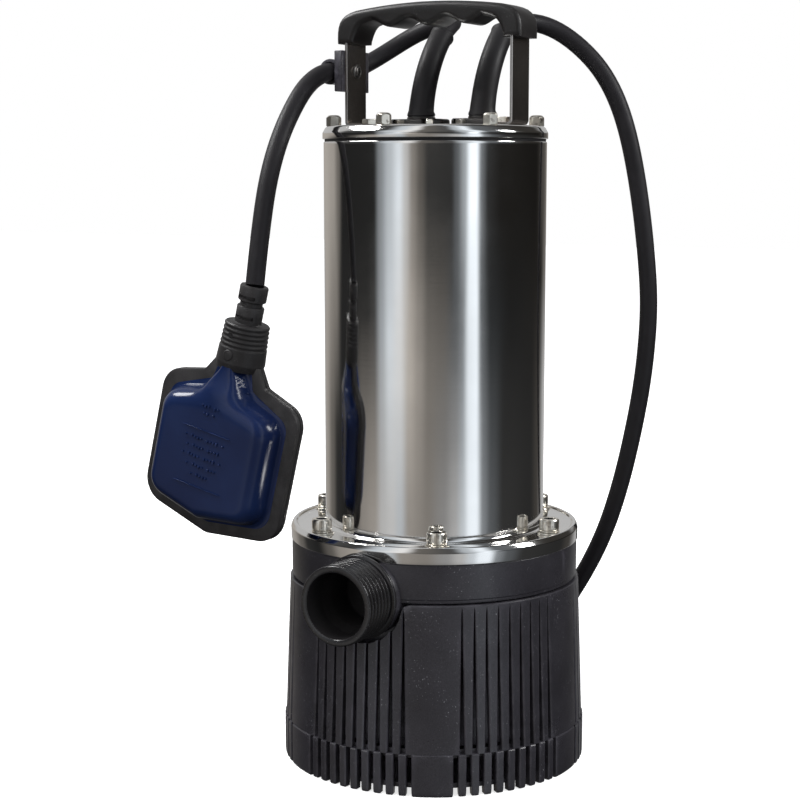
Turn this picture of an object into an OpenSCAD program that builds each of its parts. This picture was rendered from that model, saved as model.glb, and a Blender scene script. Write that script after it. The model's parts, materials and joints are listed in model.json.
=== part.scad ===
/* [Strainer base] */
// Radius of the strainer below its step
foot_r = 83; // [82.5:0.25:83.5]
// Radius of the strainer at its top edge
strainer_top_r = 79.6; // [79:0.2:80.2]
// Height of the strainer's top edge
strainer_h = 100.5; // [99.5:0.5:101]
// Height of the step between the two rows of slots
step_z = 22.5; // [20:0.5:25]
// Width of one slot at the step
slot_w = 2.8; // [2:0.2:3]

/* [Outlet] */
// Height of the outlet's axis
outlet_z = 103; // [102.5:0.5:104]
// Outside radius of the outlet's male thread
thread_r = 20.95; // [20.5:0.05:21]
// Radius of the outlet's bore at its mouth
mouth_r = 17.2; // [16:0.1:17.4]
// Distance from the pump's axis to the outlet's mouth
outlet_reach = 103.5; // [100:0.5:108]

/* [Motor] */
// Outside radius of the motor shell
shell_r = 60; // [60:0.1:60.5]
// Height of the motor shell's top edge
shell_top = 336.5; // [335:0.5:336.5]
// Radius of the motor flange
flange_r = 79.1; // [78.8:0.1:79.4]
// Radius of the circle of flange screws
flange_pcr = 70; // [69.5:0.5:70.5]
// Radius of the circle of lid nuts
stud_pcr = 54.5; // [54:0.5:55]

/* [Handle] */
// Distance from the pump's axis to the middle of each strap
strap_x = 50.1; // [49.5:0.1:50.5]
// Width of a strap
strap_w = 20; // [18:0.5:21]
// Height of the top of the grip
grip_top = 410; // [408:1:412]

/* [Float and cables] */
// Diameter of both cables
cable_d = 10; // [9:0.5:10]
// Width of the float
float_w = 89; // [85:1:90]
// Sideways lean of the hanging float in degrees
float_lean = 13.5; // [12:0.5:15]

/* [Hidden] */
$fn = 96;

// Heights shared by several pieces
ring_z0 = 101.3;
ring_z1 = 121.5;
ring_r = 78.5;
flange_z = 129.2;
inner_r = shell_r - 1.3;
lid_z0 = 337.9;
lid_top = 344.7;
cover_z = 24;
throat_r = 14.5;
collar_y = 79.5;
collar_t = 2.1;
stage_z0 = 28;
stage_pitch = 22;
stage_count = 3;
stage_od = 67.8;
shaft_step_z = stage_z0 + stage_count * stage_pitch + 3;

// Slots of the strainer
slot_zone = 60;
slot_turn = -1.6;
slot_pitch = 4.78;
upper_slots = 9;
lower_slots = 10;

// Bearings: [outer radius, bore radius, width, pitch radius, ball radius, lower face]
lower_brg = [20, 8.5, 12, 14.25, 3.375, 150];
upper_brg = [17.5, 7.5, 11, 12.5, 2.98, 279];
ball_count = 8;
ball_play = 0.06;

// Stator and rotor
core_z0 = 172;
core_h = 80;
bore_r = 31.6;
rotor_r = 31;
lead_x = 28;

// Cable entries on the lid
gland_x = 19;
gland_y = 18.5;
gland_screw_y = 13;
gland_screw_x = 9.5;
gland_top = 349.2;
boot_z0 = 350.4;
clip_c = [-62.1, 0, 375];
strap_t = 1.5;
strap_bolt_x = 41;

// The float hangs from here: middle of the neck's lower edge
neck_base = [-72.3, -81, 221];
neck_h = 21.5;
collar_top = 42;
half_rim = 3.5;
dome_h = 16;

// The swing of the float turns about this point on its cable
hinge_pt = [-62.1, -17, 373.4];

// Boot centreline: [distance back from the entry, height]
boot_path = [[0, 350.5], [0, 353.5], [0.9, 358], [2.6, 364], [5.6, 371.5], [9.6, 379],
  [14.4, 386], [19.6, 392], [25, 397]];
float_lead_path = [[-19, 43.5, 397], [-19, 52, 402.5], [-22, 62, 405], [-30, 71, 405.5],
  [-42, 76, 404.5], [-55, 76, 400.5], [-67, 70.5, 392.5], [-75.5, 60, 384.5], [-78.5, 48, 379.5],
  [-76.5, 36, 376.5], [-71.5, 24.5, 375.2], [-65.5, 15, 375], [-62.3, 8, 375], [-62.1, 2, 375],
  [-62.1, -11.8, 375]];
float_cable_path = [[-62.1, -17.8, 372.9], [-62.1, -27, 369], [-62.1, -35.5, 363], [-62.1, -43.5, 355],
  [-62.1, -51, 346.5], [-62.1, -58.5, 336], [-62.1, -65, 324], [-62.1, -70.5, 310],
  [-62.1, -74.5, 295], [-62.1, -78, 280], [-62.5, -81, 262]];
supply_path = [[19, 43.5, 397], [20.5, 52.5, 402], [23.5, 62, 404], [30, 70.5, 402.8],
  [37.5, 76, 399], [46, 80, 391.8], [56, 84.5, 381.5], [65, 88, 366.5], [71.5, 90, 349.5],
  [76.5, 92, 328], [80.5, 93.5, 304], [84, 94.5, 276], [86, 95.5, 248], [85, 96, 224],
  [82, 96.5, 198], [76.5, 96.5, 168], [69.5, 96, 138], [60.5, 95, 110], [48, 93.5, 84],
  [34, 94, 62], [19, 97, 42], [4, 100, 25], [-12, 101, 12.5], [-30, 97.5, 6.5], [-46, 88.5, 5.6]];

// Coil of the unseen cable behind the base
coil_c = [-92.3, 164.7];
coil_turn = 30;
coil_mid_r = 74;
coil_lanes = 4;
coil_layers = 5;
lane_pitch = 10.1;
coil_z0 = 0.8;
coil_w = coil_lanes * lane_pitch;
coil_h = coil_layers * lane_pitch;
plug_axis_z = coil_z0 + coil_h + 19.2;
// Cable from the top of the coil to the plug, in the coil's own turned frame
tail_path = [[-42, -66, 56], [-60, -42, 57], [-69, -18, 57], [-70, 6, 57.5], [-65, 29, 58.5],
  [-55, 45, 61.5], [-46, 54, 65.5], [-36, 59, 69.4], [-26, 60, plug_axis_z]];
plug_start = [-26, 60, plug_axis_z];

// ---------- shared shapes ----------
function unit(v) = v / norm(v);

function tangent(p, i) = unit(p[min(i + 1, len(p) - 1)] - p[max(i - 1, 0)]);

function across(n, t) = unit(n - (n * t) * t);

// Normals along a path, each carried over from the one before it
function normals(p) = [for (i = 0, n = across([0.31, 0.23, 0.92], tangent(p, 0)); i < len(p);
  i = i + 1, n = across(n, tangent(p, min(i, len(p) - 1)))) n];

// Round tube along a path; each ring has its own radius
module tube(p, radii, sides = 10) {
  n = normals(p);
  points = [for (i = [0:len(p) - 1], k = [0:sides - 1])
    let (t = tangent(p, i), b = cross(t, n[i]), a = 360 * k / sides)
    p[i] + radii[i] * (cos(a) * n[i] + sin(a) * b)];
  last = (len(p) - 1) * sides;
  walls = [for (i = [0:len(p) - 2], k = [0:sides - 1])
    let (m = (k + 1) % sides, s = i * sides)
    [s + k, s + sides + k, s + sides + m, s + m]];
  polyhedron(points = points,
    faces = concat([[for (k = [0:sides - 1]) k]], walls, [[for (k = [sides - 1:-1:0]) last + k]]));
}

module even_tube(p, r, sides = 10) {
  tube(p, [for (q = p) r], sides);
}

// Arc that rounds the corner b between a and c
function corner(a, b, c, r, steps = 5) =
  let (u = unit(a - b), w = unit(c - b), half = acos(u * w) / 2,
    start = b + u * r / tan(half), mid = b + unit(u + w) * r / sin(half),
    stop = b + w * r / tan(half),
    a0 = atan2(start[1] - mid[1], start[0] - mid[0]),
    a1 = atan2(stop[1] - mid[1], stop[0] - mid[0]),
    sweep = (a1 - a0 + 540) % 360 - 180)
  [for (i = [0:steps]) mid + r * [cos(a0 + sweep * i / steps), sin(a0 + sweep * i / steps)]];

// Closed outline with rounded corners, from [x, y, radius] points
function rounded(p) = [for (i = [0:len(p) - 1])
  let (a = p[(i + len(p) - 1) % len(p)], b = p[i], c = p[(i + 1) % len(p)])
  each b[2] == 0 ? [[b[0], b[1]]]
    : corner([a[0], a[1]], [b[0], b[1]], [c[0], c[1]], b[2])];

module ring(r1, r0, h, z = 0) {
  translate([0, 0, z]) difference() {
    cylinder(r = r1, h = h);
    translate([0, 0, -1]) cylinder(r = r0, h = h + 2);
  }
}

module around(count, r, first = 0) {
  for (i = [0:count - 1]) rotate(first + 360 * i / count) translate([r, 0, 0]) children();
}

module along_outlet(y) {
  translate([0, -y, outlet_z]) rotate([90, 0, 0]) children();
}

// ---------- strainer base ----------
module strainer_wall() {
  rotate_extrude() polygon([[0, 4], [foot_r - 5, 4], [foot_r - 5, 0.6], [foot_r - 2, 0.6],
    [foot_r, 2.6], [foot_r, step_z], [strainer_top_r, strainer_h], [strainer_top_r - 3, strainer_h],
    [foot_r - 3.6, step_z], [foot_r - 3.6, 6.5], [0, 6.5]]);
}

module lower_slot() {
  translate([foot_r - 6, -slot_w / 2, -1]) cube([12, slot_w, step_z + 1]);
}

module upper_slot() {
  translate([foot_r - 10, 0, 0]) rotate([90, 0, 90]) linear_extrude(16)
    polygon([[-slot_w / 2, step_z], [slot_w / 2, step_z], [0.3, 97], [-0.3, 97]]);
}

module filter_base() {
  color("#26272a") difference() {
    union() {
      strainer_wall();
      cylinder(r = 24, h = 4.5);
      for (k = [0:5]) rotate(slot_turn + slot_zone * k) intersection() {
        ring(foot_r - 0.8, foot_r - 9, 5);
        rotate(-6.2) cube([90, 90, 5]);
        rotate(-83.8) cube([90, 90, 5]);
      }
      around(3, 40, 30) cylinder(r = 6, h = cover_z);
    }
    around(3, 40, 30) translate([0, 0, -1]) cylinder(r = 2.1, h = 40);
    around(3, 40, 30) translate([0, 0, -1]) cylinder(r = 4.3, h = 8);
    for (k = [0:5], s = [0:lower_slots - 1])
      rotate(slot_turn + slot_zone * (k + 0.5) + slot_pitch * (s - (lower_slots - 1) / 2)) lower_slot();
    for (k = [0:5], s = [0:upper_slots - 1])
      rotate(slot_turn + slot_zone * (k + 0.5) + slot_pitch * (s - (upper_slots - 1) / 2)) upper_slot();
    along_outlet(50) cylinder(r = 24.5, h = 60);
  }
}

module base_screws() {
  color("#c9c9c6") around(3, 40, 30) difference() {
    union() {
      translate([0, 0, 3.6]) cylinder(r = 4, h = 3.4);
      translate([0, 0, 7]) cylinder(r = 2, h = 20.5);
    }
    translate([0, 0, 3]) cylinder(r = 1.8, h = 2.6, $fn = 6);
  }
}

module suction_cover() {
  color("#3a3b3e") difference() {
    translate([0, 0, cover_z]) cylinder(r = 72, h = 4);
    translate([0, 0, cover_z - 1]) cylinder(r = 17, h = 6);
    around(3, 40, 30) translate([0, 0, cover_z - 1]) cylinder(r = 2, h = 6);
  }
}

// ---------- pump stages ----------
module stage_casings() {
  color("#8f9194") for (s = [0:stage_count - 1]) {
    ring(stage_od, 65.3, stage_pitch - 0.05, stage_z0 + s * stage_pitch);
    ring(66, 21.5, 2.5, stage_z0 + s * stage_pitch);
  }
}

module stage_diffusers() {
  color("#55585c") for (s = [0:stage_count - 1]) translate([0, 0, stage_z0 + s * stage_pitch]) {
    difference() {
      translate([0, 0, 16]) cylinder(r = 65.2, h = 2.5);
      translate([0, 0, 15]) cylinder(r = 9.4, h = 5);
      around(8, 58) translate([0, 0, 15]) cylinder(r = 4.5, h = 5);
    }
    around(6, 40, 22) translate([-12, -1, 18]) cube([24, 2, 3.8]);
  }
}

module wear_rings() {
  color("#b5873a") for (s = [0:stage_count - 1])
    ring(21.5, 19.3, 2.5, stage_z0 + s * stage_pitch);
}

module impeller(s) {
  z = stage_z0 + s * stage_pitch;
  color("#d8d4c8") translate([0, 0, z]) {
    difference() {
      union() {
        ring(19, 16.5, 4.5, 0.7);
        ring(50, 16.5, 1.6, 4);
        translate([0, 0, 12]) cylinder(r = 50, h = 1.8);
        translate([0, 0, 3]) cylinder(r = 9, h = stage_pitch);
        for (k = [0:5]) rotate(60 * k) translate([-3, 0, 0]) intersection() {
          translate([0, -31, 5]) ring(32, 30.4, 7.4);
          translate([11, -45, 4]) cube([60, 60, 10]);
          translate([3, 0, 0]) cylinder(r = 49.5, h = 20);
        }
      }
      cylinder(r = 6, h = 40);
    }
  }
}

module impeller_1() { impeller(0); }
module impeller_2() { impeller(1); }
module impeller_3() { impeller(2); }

module impeller_nut() {
  color("#c9c9c6") difference() {
    translate([0, 0, stage_z0 - 3.5]) cylinder(r = 9.2, h = 6.5, $fn = 6);
    cylinder(r = 6, h = 60);
  }
}

// ---------- pump body and outlet ----------
module pump_body() {
  color("#232427") difference() {
    union() {
      rotate_extrude() polygon([[68, stage_z0], [72, stage_z0], [72, ring_z0], [ring_r, ring_z0],
        [ring_r, ring_z1], [66, ring_z1], [66, ring_z0 - 4], [68, ring_z0 - 6]]);
      difference() {
        along_outlet(69) cylinder(r = 21.9, h = collar_y - 69.1);
        translate([-40, -100, ring_z1]) cube([80, 60, 20]);
      }
    }
    along_outlet(60) cylinder(r = throat_r, h = 30);
    along_outlet(73) cylinder(r = 15.9, h = 10);
    around(6, flange_pcr) translate([0, 0, 105]) cylinder(r = 3, h = 20);
  }
}

module outlet_nipple() {
  color("#1f2022") difference() {
    union() {
      along_outlet(73.1) cylinder(r = 15.8, h = 8);
      along_outlet(collar_y) cylinder(r = 22.3, h = collar_t);
      along_outlet(collar_y + 1) cylinder(r = thread_r, h = outlet_reach - collar_y - 1);
    }
    along_outlet(70) cylinder(r = throat_r, h = 20);
    along_outlet(83) cylinder(r = mouth_r, h = 40);
  }
}

// ---------- seals and lower bracket ----------
module seal_plate() {
  color("#8c8f93") ring(65.8, 13, ring_z1 - 111, 111);
}

module seal_seat() {
  color("#d9d6cf") ring(13, 8.3, 5, 111);
}

// Turning half of the shaft seal: carbon face on a rubber bellows
module seal_head() {
  color("#3b3b3d") rotate_extrude() polygon([[7.5, 97], [11, 97], [11, 98.5], [9.6, 99.5], [10.8, 100.6],
    [9.6, 101.7], [10.8, 102.8], [10.8, 104], [11.5, 104], [11.5, 110.6], [7.5, 110.6]]);
}

module lip_seal() {
  color("#2b2b2b") ring(15, 7.52, 7, 137);
}

module lower_bracket() {
  color("#9a9c9f") difference() {
    rotate_extrude() polygon([[30, ring_z1], [75.6, ring_z1], [75.6, 127.4],
      [inner_r - 0.1, 127.4], [inner_r - 0.1, 140], [27, 140], [27, 162], [20, 162], [20, 150],
      [15, 150], [15, 137], [9, 137], [9, 135], [30, 135]]);
    around(6, flange_pcr) translate([0, 0, 120]) cylinder(r = 3.3, h = 10);
  }
}

// ---------- bearings ----------
module race(b, r1, r0) {
  translate([0, 0, b[5]]) difference() {
    ring(r1, r0, b[2]);
    translate([0, 0, b[2] / 2]) rotate_extrude() translate([b[3], 0])
      circle(r = b[4] + ball_play, $fn = 48);
  }
}

module race_outer(b) { race(b, b[0], b[3] + 0.62 * b[4]); }
module race_inner(b) { race(b, b[3] - 0.62 * b[4], b[1]); }

module ball_set(b) {
  translate([0, 0, b[5] + b[2] / 2]) {
    around(ball_count, b[3]) sphere(r = b[4], $fn = 48);
    difference() {
      ring(b[3] + 0.9, b[3] - 0.9, 4.4, -2.2);
      around(ball_count, b[3]) sphere(r = b[4] + 0.1, $fn = 48);
    }
  }
}

module lower_bearing_outer() { color("#c9cbce") race_outer(lower_brg); }
module lower_bearing_inner() { color("#c9cbce") race_inner(lower_brg); }
module lower_bearing_balls() { color("#e3e4e6") ball_set(lower_brg); }
module upper_bearing_outer() { color("#c9cbce") race_outer(upper_brg); }
module upper_bearing_inner() { color("#c9cbce") race_inner(upper_brg); }
module upper_bearing_balls() { color("#e3e4e6") ball_set(upper_brg); }

module upper_bracket() {
  color("#9a9c9f") difference() {
    rotate_extrude() polygon([[12, 274], [20.3, 274], [20.3, 276], [inner_r - 0.1, 276],
      [inner_r - 0.1, 282], [20.3, 282], [20.3, 290], [17.5, 290], [17.5, 279], [12, 279]]);
    around(6, stud_pcr, 30) translate([0, 0, 270]) cylinder(r = 2, h = 20);
    for (x = [-1, 1]) translate([x * lead_x, lead_x, 270]) cylinder(r = 6, h = 20);
  }
}

// ---------- motor ----------
module shaft() {
  color("#d2d3d5") rotate_extrude() polygon([[0, 23], [6, 23], [6, shaft_step_z], [7.5, shaft_step_z],
    [7.5, 148], [8.5, 148], [8.5, 162], [10, 162], [12, 166], [12, 258], [10, 262], [10, 279],
    [7.5, 279], [7.5, 291], [0, 291]]);
}

module rotor() {
  color("#6d7075") {
    ring(rotor_r, 12, core_h, core_z0);
    ring(28.5, 17, 6.5, core_z0 - 6);
    ring(28.5, 17, 6.5, core_z0 + core_h - 0.5);
  }
}

module stator_core() {
  color("#70747a") difference() {
    ring(inner_r - 0.05, bore_r, core_h, core_z0);
    for (k = [0:23]) rotate(15 * k) translate([bore_r + 2, -1.7, core_z0 - 1]) cube([13, 3.4, core_h + 2]);
  }
}

module stator_windings() {
  color("#a4562a") for (z = [core_z0 - 13.8, core_z0 + core_h]) translate([0, 0, z]) rotate_extrude()
    polygon([[37, 0], [51, 0], [54, 3], [54, 11], [51, 13.8], [37, 13.8], [34, 11], [34, 3]]);
}

module motor_shell() {
  color("#cfd1d3") difference() {
    rotate_extrude() polygon([[inner_r, 127.4], [76, 127.4], [76, ring_z1 + 0.1], [78.8, ring_z1 + 0.1],
      [flange_r, 123], [flange_r, 127], [78.6, 129.5], [77.8, 130.6], [77, 130.6], [76.3, flange_z],
      [shell_r + 1.5, flange_z], [shell_r, flange_z + 1.5], [shell_r, shell_top - 1.2],
      [shell_r - 0.7, shell_top], [inner_r, shell_top]]);
    around(6, flange_pcr) translate([0, 0, 120]) cylinder(r = 3.3, h = 14);
  }
}

module capacitor() {
  color("#dadada") rotate(240) translate([38, 0, 282]) cylinder(r = 17.5, h = 50);
}

// Three wires from the windings to each cable entry
module internal_leads() {
  color("#5a6ea8") for (x = [-1, 1], k = [-1:1])
    even_tube([[x * lead_x + 3.2 * k, lead_x, core_z0 + core_h + 13.8],
      [x * lead_x + 3.2 * k, lead_x, 288], [x * 24 + 3 * k, 24, 315],
      [x * gland_x + 2.9 * k, gland_y, 338], [x * gland_x + 2.9 * k, gland_y, 347]], 1.3, 8);
}

// ---------- fasteners ----------
module flange_screws() {
  color("#c9c9c6") around(6, flange_pcr) difference() {
    union() {
      translate([0, 0, 106]) cylinder(r = 3, h = 26);
      translate([0, 0, flange_z + 2]) cylinder(r = 5.1, h = 6);
    }
    translate([0, 0, 134]) cylinder(r = 2.9, h = 6, $fn = 6);
  }
}

module flange_washers() {
  color("#b9bbbd") around(6, flange_pcr) {
    ring(6.2, 3.2, 1, flange_z);
    ring(5.3, 3.2, 1, flange_z + 1);
  }
}

module lid_studs() {
  color("#b9bbbd") around(6, stud_pcr, 30) translate([0, 0, 276]) cylinder(r = 2, h = 71);
}

module lid_nuts() {
  color("#c9c9c6") around(6, stud_pcr, 30) difference() {
    union() {
      translate([0, 0, lid_top]) cylinder(r = 4.04, h = 3.4, $fn = 6);
      translate([0, 0, lid_top + 3]) cylinder(r1 = 3.5, r2 = 2.1, h = 2.6);
    }
    translate([0, 0, lid_top - 1]) cylinder(r = 2, h = 3.4);
  }
}

module lid_gasket() {
  color("#1c1c1d") ring(59.6, 57.6, 1.4, shell_top);
}

module lid() {
  color("#cfd1d3") difference() {
    rotate_extrude() polygon([[0, 341.6], [54.8, 341.6], [57.5, 339.5], [57.5, lid_z0], [60.6, lid_z0],
      [60.6, 340.4], [59.9, 342.4], [58.4, 343.9], [56.2, lid_top], [0, lid_top]]);
    around(6, stud_pcr, 30) translate([0, 0, 330]) cylinder(r = 2.2, h = 20);
    for (x = [-1, 1]) translate([x * gland_x, gland_y, 330]) cylinder(r = 7, h = 20);
    for (x = [-1, 1]) translate([x * strap_bolt_x, 0, 330]) cylinder(r = 2.1, h = 20);
    for (x = [-1, 1], s = [-1, 1])
      translate([x * gland_x + s * gland_screw_x, gland_screw_y, 330]) cylinder(r = 2, h = 20);
  }
}

// ---------- cable entries ----------
module gland_plates() {
  color("#2a2a2b") for (x = [-1, 1]) translate([x * gland_x, gland_y, 0]) difference() {
    union() {
      translate([0, 0, lid_top]) linear_extrude(gland_top - lid_top)
        polygon(rounded([[-16.2, -9.5, 8], [16.2, -9.5, 8], [16.2, 9.5, 8], [-16.2, 9.5, 8]]));
      translate([0, 0, 338]) cylinder(r = 6.9, h = 8);
      translate([0, 0, gland_top - 1]) cylinder(r = 6.4, h = boot_z0 - gland_top + 1);
    }
    translate([0, 0, 330]) cylinder(r = 5, h = 30);
    for (s = [-1, 1]) translate([s * gland_screw_x, gland_screw_y - gland_y, 340]) {
      cylinder(r = 2, h = 20);
      translate([0, 0, 5.8]) cylinder(r = 4.6, h = 20);
    }
  }
}

module gland_screws() {
  color("#c9c9c6") for (x = [-1, 1], s = [-1, 1])
    translate([x * gland_x + s * gland_screw_x, gland_screw_y, 0]) {
      translate([0, 0, 339]) cylinder(r = 2, h = 7);
      translate([0, 0, 345.8]) cylinder(r = 4, h = 3, $fn = 6);
    }
}

module boot(x) {
  p = [for (q = boot_path) [x * gland_x, gland_y + q[0], q[1]]];
  last = len(p) - 1;
  color("#1b1b1c") tube(p, [for (i = [0:last]) i == 0 ? 7.4 : 6.9 - 0.7 * i / last], 12);
}

module float_boot() { boot(-1); }
module supply_boot() { boot(1); }

// ---------- handle ----------
module strap(side) {
  color("#b9bbbd") difference() {
    union() {
      translate([side * strap_x - strap_t / 2, -strap_w / 2, lid_top]) cube([strap_t, strap_w, 57]);
      translate([side > 0 ? strap_x - 15 : -strap_x, -8, lid_top]) cube([15, 16, strap_t]);
    }
    translate([side * strap_bolt_x, 0, lid_top - 1]) cylinder(r = 2.1, h = 4);
    if (side < 0) translate([-strap_x - 5, 0, clip_c[2]]) rotate([0, 90, 0]) cylinder(r = 2.1, h = 10);
  }
}

module strap_left() { strap(-1); }
module strap_right() { strap(1); }

module strap_bolts() {
  color("#c9c9c6") for (x = [-1, 1]) translate([x * strap_bolt_x, 0, 0]) {
    translate([0, 0, 339]) cylinder(r = 2.1, h = lid_top + strap_t - 338.9);
    translate([0, 0, lid_top + strap_t]) cylinder(r = 4.3, h = 3, $fn = 6);
  }
}

// Height of the grip's underside, with its four finger grooves
function under(x) = grip_top - 10.75 - 1.75 * cos(360 * x / 23);

function over(x) = grip_top - 0.0016 * x * x;

module grip() {
  half = concat([for (x = [0:2.5:40]) [x, under(x)]],
    [[42.5, 398], [44.3, 394.5], [45.3, 389.5], [55.5, 389.5], [55.5, 397], [54.2, 401.5],
    [51, 404.8]], [for (x = [47:-5.5:3]) [x, over(x)]]);
  left = [for (i = [len(half) - 1:-1:1]) [-half[i][0], half[i][1]]];
  color("#1d1d1f") difference() {
    translate([0, 11.5, 0]) rotate([90, 0, 0]) linear_extrude(23)
      polygon(concat(half, left));
    for (x = [-1, 1]) translate([x * strap_x - strap_t / 2, -strap_w / 2, 380])
      cube([strap_t, strap_w, lid_top + 57 - 380]);
  }
}

module cable_clip() {
  block_x = -strap_x - strap_t / 2;
  color("#2b2c2f") difference() {
    union() {
      translate([block_x - 5.3, -12.5, 364]) cube([5.3, 28, 22]);
      translate([clip_c[0], 8, clip_c[2]]) rotate([90, 0, 0]) cylinder(r = 7, h = 16);
    }
    translate([clip_c[0], 9, clip_c[2]]) rotate([90, 0, 0]) cylinder(r = cable_d / 2 + 0.1, h = 18);
    translate([clip_c[0] - 10, -9, clip_c[2] - 3.6]) cube([10, 18, 7.2]);
    translate([block_x - 3, 0, clip_c[2]]) rotate([0, 90, 0]) cylinder(r = 2.1, h = 5);
  }
}

module clip_screw() {
  color("#3a3a3a") translate([-strap_x + strap_t / 2, 0, clip_c[2]]) rotate([0, 90, 0]) difference() {
    union() {
      cylinder(r = 4, h = 2);
      translate([0, 0, -4.4]) cylinder(r = 2.1, h = 5);
    }
    translate([0, 0, 0.6]) cylinder(r = 1.8, h = 3, $fn = 6);
  }
}

// ---------- float switch ----------
module in_float() {
  translate(neck_base) rotate([0, float_lean, 0]) children();
}

// Outline of the float in its own plane, pulled in by d all round
function float_outline(d) =
  let (w = float_w / 2 - d, s = [[13 - 0.5 * d, 0.5, 0], [19.5 - d, -9 - 0.5 * d, 4],
    [w, -16 - 1.2 * d, 10 - 0.7 * d], [w, -87 + 0.9 * d, 12 - 0.7 * d], [0, -96 + 1.05 * d, 9]])
  rounded(concat(s, [for (i = [3:-1:0]) [-s[i][0], s[i][1], s[i][2]]]));

module float_slab(d, y0, y1) {
  in_float() translate([0, y1, 0]) rotate([90, 0, 0]) linear_extrude(y1 - y0) polygon(float_outline(d));
}

module float_rim() {
  color("#1b1b1c") difference() {
    float_slab(0, -half_rim, half_rim);
    float_slab(9, -half_rim - 1, half_rim + 1);
  }
}

module float_shell(side) {
  y0 = side < 0 ? -half_rim - dome_h : half_rim;
  color("#1b2447") difference() {
    float_slab(6, y0, y0 + dome_h);
    float_slab(8.6, side < 0 ? y0 + 2.6 : y0 - 1, side < 0 ? y0 + dome_h + 1 : y0 + dome_h - 2.6);
  }
}

module float_front() { float_shell(-1); }
module float_back() { float_shell(1); }

module float_neck() {
  color("#1b1b1c") in_float() difference() {
    union() {
      translate([0, 0, 0.6]) cylinder(r1 = 12.9, r2 = 12, h = neck_h - 0.6);
      translate([0, 0, neck_h - 1]) cylinder(r = 7, h = 10.5);
      translate([0, 0, neck_h + 9]) cylinder(r = 6, h = 3);
      translate([0, 0, neck_h + 11.5]) cylinder(r = 7.5, h = collar_top - neck_h - 11.5);
    }
    translate([0, 0, 3]) cylinder(r = 4, h = 60);
    translate([0, 0, collar_top - 8]) cylinder(r = cable_d / 2 + 0.05, h = 20);
  }
}

module float_switch() {
  color("#b23a2e") in_float() {
    difference() {
      translate([0, 0, -78]) cylinder(r = 10.6, h = 44);
      translate([0, 0, -76]) cylinder(r = 8.6, h = 50);
    }
    translate([-9, -6, -30]) cube([18, 12, 14]);
    for (x = [-1, 1]) translate([x * 9.8 - 1, -6, -36]) cube([2, 12, 8]);
    for (y = [-1, 1]) translate([-5, y * 13.65 - 3.25, -62]) cube([10, 6.5, 20]);
  }
}

module float_ball() {
  color("#c9cbce") in_float() translate([0, 0, -67.4]) sphere(r = 8.3);
}

// Free part of the float's cable, with a round end at the swing's centre
module float_cable() {
  color("#191919") {
    even_tube(float_cable_path, cable_d / 2);
    translate(hinge_pt) sphere(r = cable_d / 2 - 0.1, $fn = 32);
  }
}

module float_lead() {
  color("#191919") even_tube(float_lead_path, cable_d / 2);
}

// ---------- supply cable, its coil and plug ----------
module in_coil() {
  translate([coil_c[0], coil_c[1], 0]) rotate(coil_turn) children();
}

module supply_cord() {
  color("#191919") {
    even_tube(supply_path, cable_d / 2, 8);
    in_coil() even_tube(tail_path, cable_d / 2, 8);
  }
}

module supply_coil() {
  color("#1c1c1c") in_coil()
    ring(coil_mid_r + coil_w / 2, coil_mid_r - coil_w / 2, coil_h, coil_z0);
}

module coil_ties() {
  color("#3d3d3d") in_coil() for (a = [200, 340]) rotate(a) translate([coil_mid_r, 0, 0]) difference() {
    translate([-coil_w / 2 - 1.8, -6, 0]) cube([coil_w + 3, 12, coil_h + 1.8]);
    translate([-coil_w / 2 - 0.6, -7, coil_z0]) cube([coil_w + 0.6, 14, coil_h]);
  }
}

module on_plug() {
  in_coil() translate(plug_start) rotate([0, 90, 0]) children();
}

module plug_body() {
  color("#1a1a1a") on_plug() {
    cylinder(r1 = 6.5, r2 = 9, h = 26);
    translate([0, 0, 25]) cylinder(r1 = 14, r2 = 19, h = 14);
    translate([0, 0, 38]) cylinder(r = 19, h = 30);
  }
}

module plug_pins() {
  color("#c8c8c4") on_plug() for (y = [-1, 1]) translate([0, y * 9.5, 68]) cylinder(r = 2.4, h = 19);
}

filter_base();
base_screws();
suction_cover();
stage_casings();
stage_diffusers();
wear_rings();
impeller_1();
impeller_2();
impeller_3();
impeller_nut();
pump_body();
outlet_nipple();
seal_plate();
seal_seat();
seal_head();
lip_seal();
lower_bracket();
lower_bearing_outer();
lower_bearing_inner();
lower_bearing_balls();
upper_bracket();
upper_bearing_outer();
upper_bearing_inner();
upper_bearing_balls();
shaft();
rotor();
stator_core();
stator_windings();
motor_shell();
capacitor();
internal_leads();
flange_screws();
flange_washers();
lid_studs();
lid_nuts();
lid_gasket();
lid();
gland_plates();
gland_screws();
float_boot();
supply_boot();
strap_left();
strap_right();
strap_bolts();
grip();
cable_clip();
clip_screw();
float_lead();
float_cable();
float_neck();
float_front();
float_back();
float_rim();
float_switch();
float_ball();
supply_cord();
supply_coil();
coil_ties();
plug_body();
plug_pins();
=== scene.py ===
"""Submersible sump pump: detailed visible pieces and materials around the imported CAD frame."""
import json
from math import acos, atan2, cos, exp, hypot, pi, radians, sin, sqrt, tan

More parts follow.
